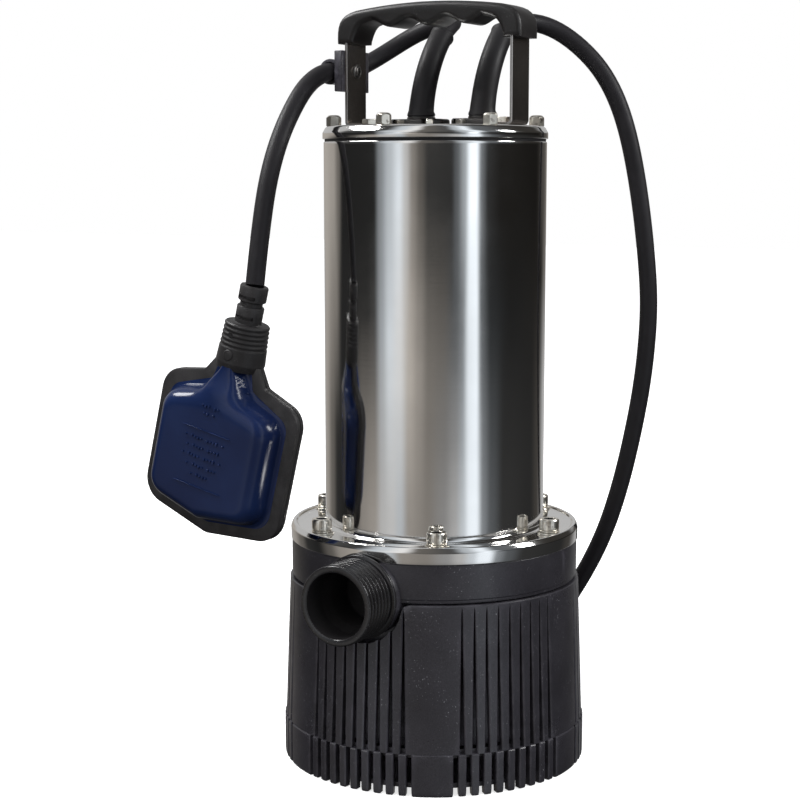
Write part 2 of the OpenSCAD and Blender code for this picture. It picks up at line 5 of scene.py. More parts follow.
import bmesh
import bpy
import numpy as np
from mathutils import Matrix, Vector


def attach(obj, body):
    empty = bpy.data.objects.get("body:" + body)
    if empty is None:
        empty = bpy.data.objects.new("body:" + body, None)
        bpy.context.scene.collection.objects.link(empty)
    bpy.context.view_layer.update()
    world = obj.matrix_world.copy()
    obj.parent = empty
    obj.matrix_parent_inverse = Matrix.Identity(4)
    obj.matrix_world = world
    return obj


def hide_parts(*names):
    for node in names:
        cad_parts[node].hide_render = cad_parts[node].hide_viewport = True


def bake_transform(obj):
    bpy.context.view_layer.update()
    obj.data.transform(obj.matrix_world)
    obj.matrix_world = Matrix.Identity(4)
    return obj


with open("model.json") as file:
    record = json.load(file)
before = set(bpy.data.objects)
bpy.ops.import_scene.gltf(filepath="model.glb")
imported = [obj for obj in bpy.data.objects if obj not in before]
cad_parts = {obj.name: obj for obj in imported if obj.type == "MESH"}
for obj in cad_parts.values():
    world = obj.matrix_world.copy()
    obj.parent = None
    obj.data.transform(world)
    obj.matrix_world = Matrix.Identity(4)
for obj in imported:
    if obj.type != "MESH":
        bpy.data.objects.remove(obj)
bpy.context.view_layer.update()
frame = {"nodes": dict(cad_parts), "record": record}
NODES = frame["nodes"]
MM = 0.001
VIEW_SIDE = radians(30)
VIEW_PITCH = radians(7.52)


def add_object(name, data):
    ob = bpy.data.objects.new(name, data)
    bpy.context.scene.collection.objects.link(ob)
    return ob


def aim(ob, direction):
    """Points a camera or a light along a direction."""
    ob.rotation_mode = "QUATERNION"
    ob.rotation_quaternion = direction.to_track_quat("-Z", "Y")


# ---------------- camera
def make_camera():
    data = bpy.data.cameras.new("camera")
    data.sensor_width = 36.0
    data.lens = 78.6
    data.clip_end = 50
    cam = add_object("camera", data)
    cam.location = (0.4586, -0.8322, 0.3218)
    level = cos(VIEW_PITCH)
    aim(cam, Vector((-sin(VIEW_SIDE) * level, cos(VIEW_SIDE) * level, -sin(VIEW_PITCH))))
    bpy.context.scene.camera = cam


make_camera()


# ---------------- shader nodes
def feed(tree, socket, value):
    """Links another node's output to a socket, or sets the socket's own value."""
    if hasattr(value, "links"):
        tree.links.new(value, socket)
    else:
        socket.default_value = value


def add_node(tree, kind, inputs, **settings):
    node = tree.nodes.new("ShaderNode" + kind)
    for key, value in settings.items():
        setattr(node, key, value)
    for key, value in inputs.items():
        feed(tree, node.inputs[key], value)
    return node


def map_range(tree, value, lo, hi, a, b):
    inputs = {"Value": value, "From Min": lo, "From Max": hi, "To Min": a, "To Max": b}
    return add_node(tree, "MapRange", inputs).outputs["Result"]


def math_node(tree, operation, a, b):
    return add_node(tree, "Math", {0: a, 1: b}, operation=operation).outputs[0]


def mix_colors(tree, fac, a, b):
    """Colour a where fac is 0 and b where it is 1."""
    node = add_node(tree, "Mix", {"Factor": fac}, data_type="RGBA")
    for socket, color in zip([x for x in node.inputs if x.type == "RGBA"], (a, b)):
        feed(tree, socket, color if hasattr(color, "links") else (*color, 1))
    return [x for x in node.outputs if x.type == "RGBA"][0]


class Shade:
    """A small builder for one procedural material."""

    def __init__(self, name, color, rough, metallic=0.0, spec=0.5):
        self.mat = bpy.data.materials.new(name)
        self.mat.use_nodes = True
        self.mat.diffuse_color = (*color, 1)
        self.tree = self.mat.node_tree
        self.inputs = self.tree.nodes["Principled BSDF"].inputs
        for key, value in (("Base Color", (*color, 1)), ("Roughness", rough), ("Metallic", metallic),
                           ("Specular IOR Level", spec)):
            self.inputs[key].default_value = value
        self.coord = add_node(self.tree, "TexCoord", {}).outputs["Object"]

    def stretch(self, scale):
        return add_node(self.tree, "Mapping", {"Scale": scale, "Vector": self.coord}).outputs["Vector"]

    def noise(self, scale, detail=3.0, vector=None):
        inputs = {"Scale": scale, "Detail": detail, "Roughness": 0.55, "Vector": vector or self.coord}
        return add_node(self.tree, "TexNoise", inputs).outputs["Fac"]

    def remap(self, value, lo, hi, a, b):
        return map_range(self.tree, value, lo, hi, a, b)

    def blend(self, fac, a, b):
        return mix_colors(self.tree, fac, a, b)

    def multiply(self, a, b):
        return math_node(self.tree, "MULTIPLY", a, b)

    def edges(self, lo=0.52, hi=0.6):
        """1 on convex edges, 0 elsewhere."""
        pointiness = add_node(self.tree, "NewGeometry", {}).outputs["Pointiness"]
        return self.remap(pointiness, lo, hi, 0, 1)

    def paint(self, color):
        feed(self.tree, self.inputs["Base Color"], color)

    def gloss(self, rough):
        feed(self.tree, self.inputs["Roughness"], rough)

    def bump(self, height, distance, strength=0.5, after=None):
        """Bumps the surface, on top of an earlier bump if one is given."""
        inputs = {"Distance": distance, "Strength": strength, "Height": height}
        if after is not None:
            inputs["Normal"] = after
        normal = add_node(self.tree, "Bump", inputs).outputs["Normal"]
        feed(self.tree, self.inputs["Normal"], normal)
        return normal


# ---------------- materials
def tint(color, k):
    return tuple(min(1.0, c * k) for c in color)


def plastic(name, color, rough, grain, depth, specks, lift=2.2, spec=0.45):
    """Moulded plastic: cloudy tone, a fine grain, pale dust specks and rubbed edges."""
    s = Shade(name, color, rough, spec=spec)
    cloud = s.remap(s.noise(28, 4), 0.35, 0.7, 0, 1)
    base = s.blend(cloud, tint(color, 0.82), tint(color, 1.2))
    fleck = s.remap(s.noise(1500, 2), 0.62, 0.35, 0, 0.45)
    base = s.blend(fleck, base, tint(color, 0.35))
    patches = s.remap(s.noise(60, 2), 0.42, 0.62, 0, 1)
    dust = s.multiply(s.remap(s.noise(1100, 1), 0.68, 0.76, 0, specks), patches)
    base = s.blend(dust, base, (0.2, 0.2, 0.215))
    worn = s.multiply(s.edges(), s.remap(s.noise(120, 3), 0.4, 0.62, 0.1, 0.8))
    s.paint(s.blend(worn, base, tint(color, lift)))
    s.gloss(s.remap(s.noise(45, 3), 0.3, 0.7, rough - 0.06, rough + 0.08))
    s.bump(s.noise(grain, 2), depth)
    return s.mat


def steel(name, color, rough, brush=(1, 1, 1), brush_scale=900, depth=0.000004, swirl=0.03, wave=0.0,
          tarnish=0.0, metallic=1.0):
    """Bright metal: fine directional marks, soft smears in its gloss and faint waviness."""
    s = Shade(name, color, rough, metallic=metallic)
    smear = s.remap(s.noise(16, 4), 0.3, 0.7, 0, 1)
    base = s.blend(smear, tint(color, 0.93), tint(color, 1.05))
    if tarnish:
        spots = s.multiply(s.remap(s.noise(220, 4), 0.6, 0.72, 0, tarnish), s.edges(0.4, 0.48))
        base = s.blend(spots, base, (0.12, 0.09, 0.06))
    s.paint(base)
    marks = s.noise(brush_scale, 2, s.stretch(brush))
    s.gloss(s.remap(s.noise(34, 5), 0.3, 0.72, max(0.02, rough - swirl), rough + swirl))
    normal = s.bump(marks, depth, 0.6)
    if wave:
        s.bump(s.noise(11, 1, s.stretch((1, 1, 0.35))), wave, after=normal)
    return s.mat


def rubber(name, color, rough):
    """Cable and boot rubber: dull, with a chalky bloom and small scuffs."""
    s = Shade(name, color, rough, spec=0.27)
    patches = s.remap(s.noise(9, 2), 0.35, 0.65, 0.2, 1)
    chalk = s.multiply(s.remap(s.noise(70, 5), 0.45, 0.75, 0, 0.25), patches)
    s.paint(s.blend(chalk, color, tint(color, 3.0)))
    s.gloss(s.remap(s.noise(40, 4), 0.3, 0.7, rough - 0.07, rough + 0.1))
    s.bump(s.noise(700, 3), 0.00007)
    return s.mat


def plain(name, color, rough, metallic=0.0, bump=0.00003, scale=300):
    """Inner parts: tone and gloss vary a little, with a fine surface."""
    s = Shade(name, color, rough, metallic=metallic)
    s.paint(s.blend(s.noise(40, 3), tint(color, 0.85), tint(color, 1.15)))
    s.gloss(s.remap(s.noise(60, 3), 0.3, 0.7, max(0.03, rough - 0.06), rough + 0.06))
    s.bump(s.noise(scale, 3), bump)
    return s.mat


def float_paint():
    """Deep navy glossy plastic of the float's shells."""
    s = Shade("float_navy", (0.006, 0.014, 0.05), 0.16, spec=0.26)
    cloud = s.remap(s.noise(18, 3), 0.35, 0.7, 0, 1)
    base = s.blend(cloud, (0.005, 0.0105, 0.042), (0.009, 0.019, 0.066))
    rub = s.multiply(s.edges(0.51, 0.58), s.remap(s.noise(90, 3), 0.4, 0.65, 0, 0.5))
    s.paint(s.blend(rub, base, (0.03, 0.045, 0.13)))
    s.gloss(s.remap(s.noise(26, 4), 0.3, 0.7, 0.11, 0.2))
    s.bump(s.noise(26, 2), 0.00018, 0.35)
    return s.mat


# colour, roughness, then the further arguments of plastic(), steel(), rubber() or plain(), in their order
PLASTIC = {
    "black_plastic": ((0.032, 0.0303, 0.0365), 0.31, 900, 0.0001, 0.9, 2.2, 0.5),
    "outlet_black": ((0.0145, 0.0137, 0.0147), 0.21, 900, 0.00006, 0.5, 2.2, 0.6),
    # a duller black given to faces deep in bores, sockets and holes: painted shade
    "bore_black": ((0.014, 0.013, 0.0137), 0.5, 900, 0.00006, 0.05, 1.2, 0.25),
    "gland_black": ((0.02, 0.018, 0.017), 0.35, 900, 0.00006, 0.2),
    "grip_black": ((0.0105, 0.0093, 0.0093), 0.4, 1300, 0.00006, 0.2),
    "float_black": ((0.0175, 0.0163, 0.017), 0.5, 1100, 0.00006, 0.25),
}
STEEL = {
    "stainless": ((0.86, 0.85, 0.835), 0.085, (0.06, 0.06, 1), 900, 0.0000025, 0.03, 0.0009),
    "stainless_strap": ((0.5, 0.46, 0.43), 0.2, (1, 1, 0.05), 700, 0.000004, 0.03, 0, 0, 0.985),
    "stainless_fastener": ((0.86, 0.815, 0.73), 0.3, (1, 1, 1), 900, 0.000004, 0.05, 0, 0.8),
    "dark_steel": ((0.12, 0.115, 0.11), 0.4),
}
RUBBER = {
    "rubber": ((0.0115, 0.0108, 0.0118), 0.5),
    "cable_rubber": ((0.0115, 0.0105, 0.0122), 0.5),
    "plug_black": ((0.018, 0.018, 0.019), 0.5),
}
PLAIN = {
    "tie_plastic": ((0.012, 0.012, 0.013), 0.35),
    "grey_plastic": ((0.09, 0.1, 0.11), 0.5),
    "cream_plastic": ((0.62, 0.58, 0.48), 0.42),
    "white_plastic": ((0.7, 0.7, 0.68), 0.35),
    "red_plastic": ((0.4, 0.03, 0.025), 0.35),
    "wire": ((0.06, 0.11, 0.36), 0.4),
    "stage_steel": ((0.6, 0.6, 0.59), 0.28, 1.0),
    "bearing_steel": ((0.62, 0.62, 0.63), 0.2, 1.0, 0.00001, 900),
    "bearing_balls": ((0.78, 0.78, 0.79), 0.08, 1.0, 0.000002),
    "nickel": ((0.72, 0.69, 0.62), 0.16, 1.0, 0.000004, 900),
    "lamination": ((0.2, 0.2, 0.21), 0.45, 1.0, 0.00008, 1500),
    "cast_aluminium": ((0.5, 0.51, 0.52), 0.5, 1.0, 0.00012, 500),
    "brass": ((0.6, 0.42, 0.16), 0.26, 1.0),
    "copper": ((0.5, 0.19, 0.075), 0.32, 1.0, 0.0001, 1200),
    "ceramic": ((0.76, 0.75, 0.7), 0.15),
}
MATS = {"float_navy": float_paint()}
for make, table in ((plastic, PLASTIC), (steel, STEEL), (rubber, RUBBER), (plain, PLAIN)):
    for look, values in table.items():
        MATS[look] = make(look, *values)
for row in frame["record"]["subparts"]:
    ob = NODES[row["node"]]
    ob.data.materials.clear()
    ob.data.materials.append(MATS[row["material_slot"]])


# ---------------- mesh helpers
def unit(v):
    return v / np.linalg.norm(v)


def lengths(vectors):
    return np.linalg.norm(vectors, axis=1)


def distances(path):
    """How far each point of a path is from its start, along it."""
    return np.r_[0, np.cumsum(lengths(np.diff(path, axis=0)))]


def clean_mesh(name, parts):
    """A mesh in metres, normals outward, from (verts in mm, faces) parts."""
    verts, faces, base = [], [], 0
    for vs, fs in parts:
        verts += [tuple(float(c) * MM for c in v) for v in vs]
        faces += [[i + base for i in f] for f in fs]
        base = len(verts)
    mesh = bpy.data.meshes.new(name)
    mesh.from_pydata(verts, [], faces)
    bm = bmesh.new()
    bm.from_mesh(mesh)
    bmesh.ops.remove_doubles(bm, verts=bm.verts, dist=2e-6)
    bmesh.ops.dissolve_degenerate(bm, edges=bm.edges, dist=1e-7)
    bmesh.ops.recalc_face_normals(bm, faces=bm.faces)
    bm.to_mesh(mesh)
    bm.free()
    return mesh


def piece(name, parts, slot, body="root", stands_for="", sharp=38.0):
    """One object that rides on body and may stand for CAD nodes, named in one string."""
    mesh = clean_mesh(name, parts)
    mesh.polygons.foreach_set("use_smooth", [True] * len(mesh.polygons))
    mesh.set_sharp_from_angle(angle=radians(sharp))
    mesh.materials.append(MATS[slot])
    ob = add_object(name, mesh)
    if body:
        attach(ob, body)
    if stands_for:
        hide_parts(*stands_for.split())
    return ob


def second_look(ob, look, inside):
    """Gives the faces whose centres pass inside(x, y, z), in mm, another material."""
    ob.data.materials.append(MATS[look])
    for face in ob.data.polygons:
        if inside(*(face.center / MM)):
            face.material_index = 1


def rings_to_mesh(rings, close=False, caps=(True, True)):
    """Joins closed rings of equal length; close joins the last ring to the first."""
    n = len(rings[0])
    verts = [p for r in rings for p in r]
    faces = []
    for i in range(len(rings) if close else len(rings) - 1):
        j = (i + 1) % len(rings)
        for k in range(n):
            m = (k + 1) % n
            faces.append([i * n + k, i * n + m, j * n + m, j * n + k])
    if not close and caps[0]:
        faces.append(list(range(n))[::-1])
    if not close and caps[1]:
        faces.append([(len(rings) - 1) * n + k for k in range(n)])
    return verts, faces


def moved(part, rule):
    """The part with each corner put through rule(x, y, z)."""
    return [rule(*v) for v in part[0]], part[1]


def fillet(points):
    """Outline with rounded corners from (x, y) or (x, y, radius[, steps]) points."""
    out = []
    n = len(points)
    for i, p in enumerate(points):
        r = p[2] if len(p) > 2 else 0
        steps = p[3] if len(p) > 3 else 5
        b = np.array(p[:2], float)
        if not r:
            out.append(b)
            continue
        a, c = np.array(points[i - 1][:2], float), np.array(points[(i + 1) % n][:2], float)
        u, w = unit(a - b), unit(c - b)
        half = acos(max(-1, min(1, float(u @ w)))) / 2
        start, stop = b + u * r / tan(half), b + w * r / tan(half)
        mid = b + unit(u + w) * r / sin(half)
        a0 = atan2(*(start - mid)[::-1])
        a1 = atan2(*(stop - mid)[::-1])
        sweep = (a1 - a0 + 3 * pi) % (2 * pi) - pi
        for k in range(steps + 1):
            t = a0 + sweep * k / steps
            out.append(mid + r * np.array([cos(t), sin(t)]))
    return out


def polar(r, a, z=0.0):
    return (r * cos(a), r * sin(a), z)


def circle(r, z, segs):
    """A ring at height z; r is a radius or a function that gives it from the angle."""
    angles = [2 * pi * k / segs for k in range(segs)]
    return [polar(r(a) if callable(r) else r, a, z) for a in angles]


def lathe(profile, segs=192, closed=True):
    """Revolves an (r, z) outline about Z."""
    return rings_to_mesh([circle(r, z, segs) for r, z in profile], closed, (False, False))


def loft(levels, segs=48):
    """A capped solid from (r, z) levels, as circle takes them."""
    return rings_to_mesh([circle(r, z, segs) for r, z in levels])


def hexagon(flat_r):
    """Radius function of a hexagon whose flats lie flat_r from its centre."""
    return lambda t: flat_r / cos((t % (pi / 3)) - pi / 6)


def cone_cut(flat_r, r):
    """The same hexagon with its corners turned down to r."""
    return lambda t: min(hexagon(flat_r)(t), r)


def place(part, move=(0, 0, 0), spin=0.0):
    """Turns a part by spin about Z, then moves it."""
    vs, fs = part
    a = radians(spin)
    rot = np.array([[cos(a), -sin(a), 0], [sin(a), cos(a), 0], [0, 0, 1]])
    return [tuple(p) for p in np.array(vs, float) @ rot.T + np.array(move, float)], fs


def around(part, r, first=0.0, spin=0.0):
    """Six copies on a circle, each turned a little further than the last if spin is given."""
    out = []
    for i in range(6):
        out.append(place(part, polar(r, radians(first + 60 * i)), spin + 7.3 * i * (spin != 0)))
    return out


def tube(path, radii, sides=24):
    """A capped tube along a path, its rings carried along it without twisting."""
    p = np.array(path, float)
    radii = np.broadcast_to(np.array(radii, float), (len(p),))
    along = np.gradient(p, axis=0)
    along /= lengths(along)[:, None]
    side = np.array([0.31, 0.23, 0.92])
    rings = []
    for q, r, t in zip(p, radii, along):
        side = unit(side - (side @ t) * t)
        b = np.cross(t, side)
        turns = [2 * pi * k / sides for k in range(sides)]
        rings.append([tuple(q + r * (cos(a) * side + sin(a) * b)) for a in turns])
    return rings_to_mesh(rings)


def smooth_path(points, step=2.0):
    """Centripetal Catmull-Rom curve through the points, sampled about every step."""
    p = np.array(points, float)
    p = np.vstack([2 * p[0] - p[1], p, 2 * p[-1] - p[-2]])
    out = []
    for i in range(1, len(p) - 2):
        four = p[i - 1:i + 3]
        knots = np.r_[0, np.cumsum(lengths(np.diff(four, axis=0)) ** 0.5)]
        count = max(2, int(np.linalg.norm(four[2] - four[1]) / step))
        for k in range(count):
            t = knots[1] + (knots[2] - knots[1]) * k / count
            q = four
            for spans in (((0, 1), (1, 2), (2, 3)), ((0, 2), (1, 3)), ((1, 2),)):
                q = [((knots[b] - t) * q[j] + (t - knots[a]) * q[j + 1]) / (knots[b] - knots[a])
                     for j, (a, b) in enumerate(spans)]
            out.append(q[0])
    out.append(p[-2])
    return np.array(out)


def relaxed(path, step, rounds):
    """Evenly spaced points along a path, with its small bends eased; the ends stay."""
    p = np.array(path, float)
    for _ in range(3):
        d = distances(p)
        u = np.linspace(0, d[-1], max(4, int(round(d[-1] / step)) + 1))
        p = np.stack([np.interp(u, d, p[:, k]) for k in range(3)], 1)
        for _ in range(rounds):
            p[2:-2] = 0.5 * p[2:-2] + 0.25 * (p[1:-3] + p[3:-1])
    return p


def pillow(outline, y0, y1, r, steps=4):
    """An outline in XZ extruded from y0 to y1 with edges rounded by r."""
    pts = np.array(outline, float)
    nxt, prv = np.roll(pts, -1, 0), np.roll(pts, 1, 0)
    area = 0.5 * float(np.sum(pts[:, 0] * nxt[:, 1] - nxt[:, 0] * pts[:, 1]))

    def normals(edge):
        edge = edge / (lengths(edge)[:, None] + 1e-12)
        return np.stack([-edge[:, 1], edge[:, 0]], 1)

    n0 = normals(pts - prv)
    inward = n0 + normals(nxt - pts)
    inward /= np.maximum(lengths(inward)[:, None], 1e-9)
    inward /= np.clip((inward * n0).sum(1), 0.5, 1)[:, None]
    inward *= 1 if area > 0 else -1
    turns = [pi / 2 * k / steps for k in range(steps + 1)]
    levels = [(r * (1 - sin(a)), y0 + r * (1 - cos(a))) for a in turns]
    levels += [(r * (1 - sin(a)), y1 - r * (1 - cos(a))) for a in turns[::-1]]
    rings = [[(x, y, z) for x, z in pts + inward * off] for off, y in levels]
    return rings_to_mesh(rings)


# ---------------- cords
# routes in mm, listed point by point: out of each boot, over and down
FLOAT_CORD = [[-19, 43.5, 397], [-19, 52, 402.5], [-22, 62, 405], [-30, 71, 405.5], [-42, 76, 404.5],
              [-55, 76, 400.5], [-67, 70.5, 392.5], [-75.5, 60, 384.5], [-78.5, 48, 379.5],
              [-76.5, 36, 376.5], [-71.5, 24.5, 375.2], [-65.5, 15, 375], [-62.3, 8, 375], [-62.1, 2, 375],
              [-62.1, -11, 375], [-62.1, -19.5, 372.1], [-62.1, -27, 369], [-62.1, -35.5, 363],
              [-62.1, -43.5, 355],
              [-62.1, -51, 346.5], [-62.1, -58.5, 336], [-62.1, -65, 324], [-62.1, -70.5, 310],
              [-62.1, -74.5, 295], [-62.1, -78, 280], [-62.5, -81, 262]]
SUPPLY = [[19, 43.5, 397], [20.5, 52.5, 402], [23.5, 62, 404], [30, 70.5, 402.8], [37.5, 76, 399],
          [46, 80, 391.8], [56, 84.5, 381.5], [65, 88, 366.5], [71.5, 90, 349.5], [76.5, 92, 328],
          [80.5, 93.5, 304], [84, 94.5, 276], [86, 95.5, 248], [85, 96, 224], [82, 96.5, 198],
          [76.5, 96.5, 168], [69.5, 96, 138], [60.5, 95, 110], [48, 93.5, 84], [34, 94, 62],
          [19, 97, 42], [4, 100, 25], [-12, 101, 12.5], [-30, 97.5, 6.5], [-46, 88.5, 5.6]]
COIL_MID = np.array([-92.3, 164.7])
COIL_TURN = radians(30)
COIL_R = 74.0
COIL_TOP = 51.3
LAYER = 10.1
LAYERS = 5
FLOOR_GAP = 5.6
LANES = [COIL_R + LAYER * k for k in (1.5, 0.5, -0.5, -1.5)]
PLUG_Z = COIL_TOP + 19.2
CORD_R = 5.0


def coil_to_row(q):
    """A point of the coil's own turned frame, in the row frame."""
    x, y, z = q
    c, s = cos(COIL_TURN), sin(COIL_TURN)
    return [COIL_MID[0] + c * x - s * y, COIL_MID[1] + s * x + c * y, z]


def on_coil(r, turn, z):
    return [COIL_MID[0] + r * cos(turn), COIL_MID[1] + r * sin(turn), z]


TAIL = [coil_to_row(q) for q in [[-42, -66, 56.2], [-60, -42, 56.8], [-69, -18, 57], [-70, 6, 57.5],
                                 [-65, 29, 58.5], [-55, 45, 61.5], [-46, 54, 65.5], [-36, 59, 69.4],
                                 [-26, 60, PLUG_Z], [-18, 60, PLUG_Z]]]


def coil_turns():
    """Twenty turns, lane by lane and layer by layer, clockwise from above."""
    start = np.array(SUPPLY[-1][:2]) - COIL_MID
    a = atan2(start[1], start[0])
    per = 36
    hop = 8
    out = []
    for layer in range(LAYERS):
        order = LANES if layer % 2 == 0 else LANES[::-1]
        z = FLOOR_GAP + LAYER * layer
        for lane, r in enumerate(order):
            for k in range(per):
                turn = a - 2 * pi * (k / per)
                nr, nz = r, z
                left = per - k
                if left <= hop:
                    w = (1 - cos(pi * (1 - left / hop))) / 2
                    if lane < 3:
                        nr = r + (order[lane + 1] - r) * w
                    elif layer < LAYERS - 1:
                        nz = z + LAYER * w
                out.append(on_coil(nr, turn, nz))
    end = atan2(TAIL[0][1] - COIL_MID[1], TAIL[0][0] - COIL_MID[0])
    top_r = float(np.linalg.norm(np.array(TAIL[0][:2]) - COIL_MID))
    span = (a - end) % (2 * pi)
    steps = max(8, int(span / (2 * pi) * per))
    top = FLOOR_GAP + LAYER * (LAYERS - 1)
    for k in range(steps):
        w = k / steps
        ease = (1 - cos(pi * w)) / 2
        r = LANES[-1] + (top_r - LANES[-1]) * ease
        z = top + (TAIL[0][2] - top) * min(1, ease * 2.2)
        out.append(on_coil(r, a - span * w, z))
    return out


def make_supply_cord():
    lead = relaxed(smooth_path(SUPPLY, 3.0), 4.0, 3)
    tail = smooth_path(TAIL, 6.0)
    line = np.vstack([lead[:-1], coil_turns(), tail])
    data = bpy.data.curves.new("supply_cable", "CURVE")
    data.dimensions = "3D"
    data.bevel_depth = CORD_R * MM
    data.bevel_resolution = 5
    data.use_fill_caps = True
    spline = data.splines.new("POLY")
    spline.points.add(len(line) - 1)
    for q, point in zip(line, spline.points):
        point.co = (*(q * MM), 1)
    spline.use_smooth = True
    data.materials.append(MATS["cable_rubber"])
    ob = add_object("supply_cable", data)
    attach(ob, "root")
    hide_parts("supply_cord", "supply_coil")
    return ob, float(distances(line)[-1]) * MM


supply, supply_length = make_supply_cord()
float_line = relaxed(smooth_path(FLOAT_CORD, 2.0), 3.0, 3)
float_cable = piece("float_cable_bent", [tube(float_line, CORD_R, 20)], "cable_rubber", body=None,
                    stands_for="float_lead float_cable")
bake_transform(float_cable)


# ---------------- strainer
STEP_Z, SLOT_TOP, TOP_Z = 22.5, 97, 100.5
PITCH = radians(4.78)
SLOT_TURN = -1.6
OUTLET_Z = 103.0
NOTCH_R = 24.5


def wall_r(z):
    return 82.4 + (79.6 - 82.4) * (z - STEP_Z) / (TOP_Z - STEP_Z)


def notch_top(a, r):
    """Top edge of the wall at angle a, cut round the outlet."""
    d = abs((a - 1.5 * pi + pi) % (2 * pi) - pi)
    x = r * sin(d)
    if d < pi / 2 and x < NOTCH_R:
        return min(TOP_Z, OUTLET_Z - sqrt(NOTCH_R ** 2 - x * x))
    return TOP_Z


def bar(a0, a1, rows, radius, half, depth, chamfer, top=None):
    """One bar between two slots centred on angles a0 and a1; half(z) is half a slot's width.

    With top, rows are shares of the way up to top's edge; without it they are heights.
    """
    wide = max(3, int((a1 - a0) / radians(2.0)))
    fr = [i / wide for i in range(wide + 1)]
    rings = []
    for t in rows:
        outer, inner = [], []
        for f in fr:
            z = STEP_Z + (top(a0 + (a1 - a0) * f, 80.5) - STEP_Z) * t if top else t
            r = radius(z)
            h = half(z) / r
            a = a0 + h + (a1 - a0 - 2 * h) * f
            outer.append((r, a, z))
            inner.append((r - depth, a, z))
        cut = min(chamfer, half(outer[0][2]) * 0.9)
        ring = []
        for i, (r, a, z) in enumerate(outer):
            if i == 0:
                ring += [(r - cut, a, z), (r, a + cut / r, z)]
            elif i == wide:
                ring += [(r, a - cut / r, z), (r - cut, a, z)]
            else:
                ring.append((r, a, z))
        ring += inner[::-1]
        rings.append([polar(*p) for p in ring])
    return rings_to_mesh(rings)


def slot_angles(zone, count):
    """The slots of one sixth of the wall, then the first slot of the next."""
    mid = radians(30 + SLOT_TURN + 60 * zone)
    half = (count - 1) / 2
    return [mid + (s - half) * PITCH for s in range(count)] + [mid + radians(60) - half * PITCH]


def strainer_parts():
    parts = []
    rows = [0, 0.004, 0.1, 0.25, 0.4, 0.55, 0.7, 0.82, 0.9, 0.9494, 0.993, 1.0]

    def upper_half(z):
        return max(0.0, 1.4 - 1.1 * (z - STEP_Z) / (SLOT_TOP - STEP_Z)) if z < SLOT_TOP + 0.1 else 0.0

    def upper_radius(z):
        return wall_r(z) - max(0.0, z - 100.0) * 1.0

    for zone in range(6):
        slots = slot_angles(zone, 9)
        for a0, a1 in zip(slots[:-1], slots[1:]):
            parts.append(bar(a0, a1, rows, upper_radius, upper_half, 3.2, 0.5, notch_top))

    def lower_radius(z):
        base = 83.1
        if z < 1.6:
            base -= 1.3 * (1 - sqrt(max(0.0, 1 - ((1.6 - z) / 1.7) ** 2)))
        return base - max(0.0, z - 22.0) * 0.8

    def lower_half(z):
        return 1.4 + 0.25 * max(0.0, 1 - z / 3)

    low_rows = [0.5, 0.9, 1.6, 2.8, 4.5, 7, 12, 18, 22.0, 22.5]
    foot_rows = [0.0] + low_rows[1:]
    for zone in range(6):
        slots = slot_angles(zone, 10)
        for i, (a0, a1) in enumerate(zip(slots[:-1], slots[1:])):
            zs = foot_rows if i == 9 else low_rows
            parts.append(bar(a0, a1, zs, lower_radius, lower_half, 4.2, 0.45))
    # bottom plate, pad and inner hoop that carries the bars
    parts.append(lathe(fillet([(0, 4), (79.4, 4), (79.4, 6.5), (0, 6.5)]), 96, closed=False))
    parts.append(lathe([(0, 0), (23.6, 0), (24, 0.4), (24, 4.2)], 96, closed=False))
    parts.append(lathe([(78.6, 20), (79.2, 20), (79.2, 24.5), (78.6, 24.5)], 120))
    post = lathe([(4.3, 4.2), (4.3, 7), (2.2, 7), (2.2, 24), (6, 24), (6, 6)], 32, closed=False)
    for i in range(3):
        parts.append(place(post, polar(40, radians(30 + 120 * i))))
    return parts


piece("strainer", strainer_parts(), "black_plastic", stands_for="filter_base", sharp=30)


# ---------------- pump body ring and outlet
def along_outlet(part, y):
    """Puts a part built up +Z so that it runs out of the outlet from distance y."""
    return moved(part, lambda u, v, w: (u, -(y + w), OUTLET_Z + v))


def body_ring():
    profile = [(66.2, 121.5), (78.5, 121.5, 0.5, 3), (78.5, 103.4, 0.6, 3), (78.1, 102.9),
               (78.1, 101.3, 0.4, 2), (72, 101.3, 0.3, 2), (72, 28.2), (68, 28.2), (68, 97)]
    return lathe(fillet(profile), 192)


def outlet_boss():
    """The round swelling behind the outlet's collar, cut flat under the flange."""
    boss = lathe([(15.2, 0), (21.9, 0), (21.9, 9.6), (21.6, 10.2), (21.2, 10.4), (15.2, 10.4)], 120)
    return moved(along_outlet(boss, 69), lambda x, y, z: (x, y, min(z, 121.4)))


def bored(ob, radius, y0, y1):
    """Cuts a round hole along the outlet's axis through an object."""
    rod = along_outlet(loft([(radius, y0), (radius, y1)], 96), 0)
    drill = add_object("drill", clean_mesh("drill", [rod]))
    cut = ob.modifiers.new("bore", "BOOLEAN")
    cut.operation = "DIFFERENCE"
    cut.solver = "EXACT"
    cut.object = drill
    graph = bpy.context.evaluated_depsgraph_get()
    result = bpy.data.meshes.new_from_object(ob.evaluated_get(graph))
    ob.modifiers.clear()
    ob.data = result
    result.set_sharp_from_angle(angle=radians(30))
    bpy.data.objects.remove(drill)


ring_body = piece("pump_body_ring", [body_ring()], "black_plastic", stands_for="pump_body", sharp=30)
bored(ring_body, 15.6, 50, 95)
piece("outlet_boss", [outlet_boss()], "black_plastic", sharp=30)

THREAD_PITCH = 3.2
THREAD_DEPTH = 1.6
THREAD_R = 20.95
NIPPLE_Y = 79.5


def thread_height(phase):
    """0 at the root to 1 at the crest of a rounded thread."""
    t = min(1.0, max(0.0, (1 - abs(2 * (phase % 1.0) - 1) - 0.12) / 0.7))
    return t * t * (3 - 2 * t)


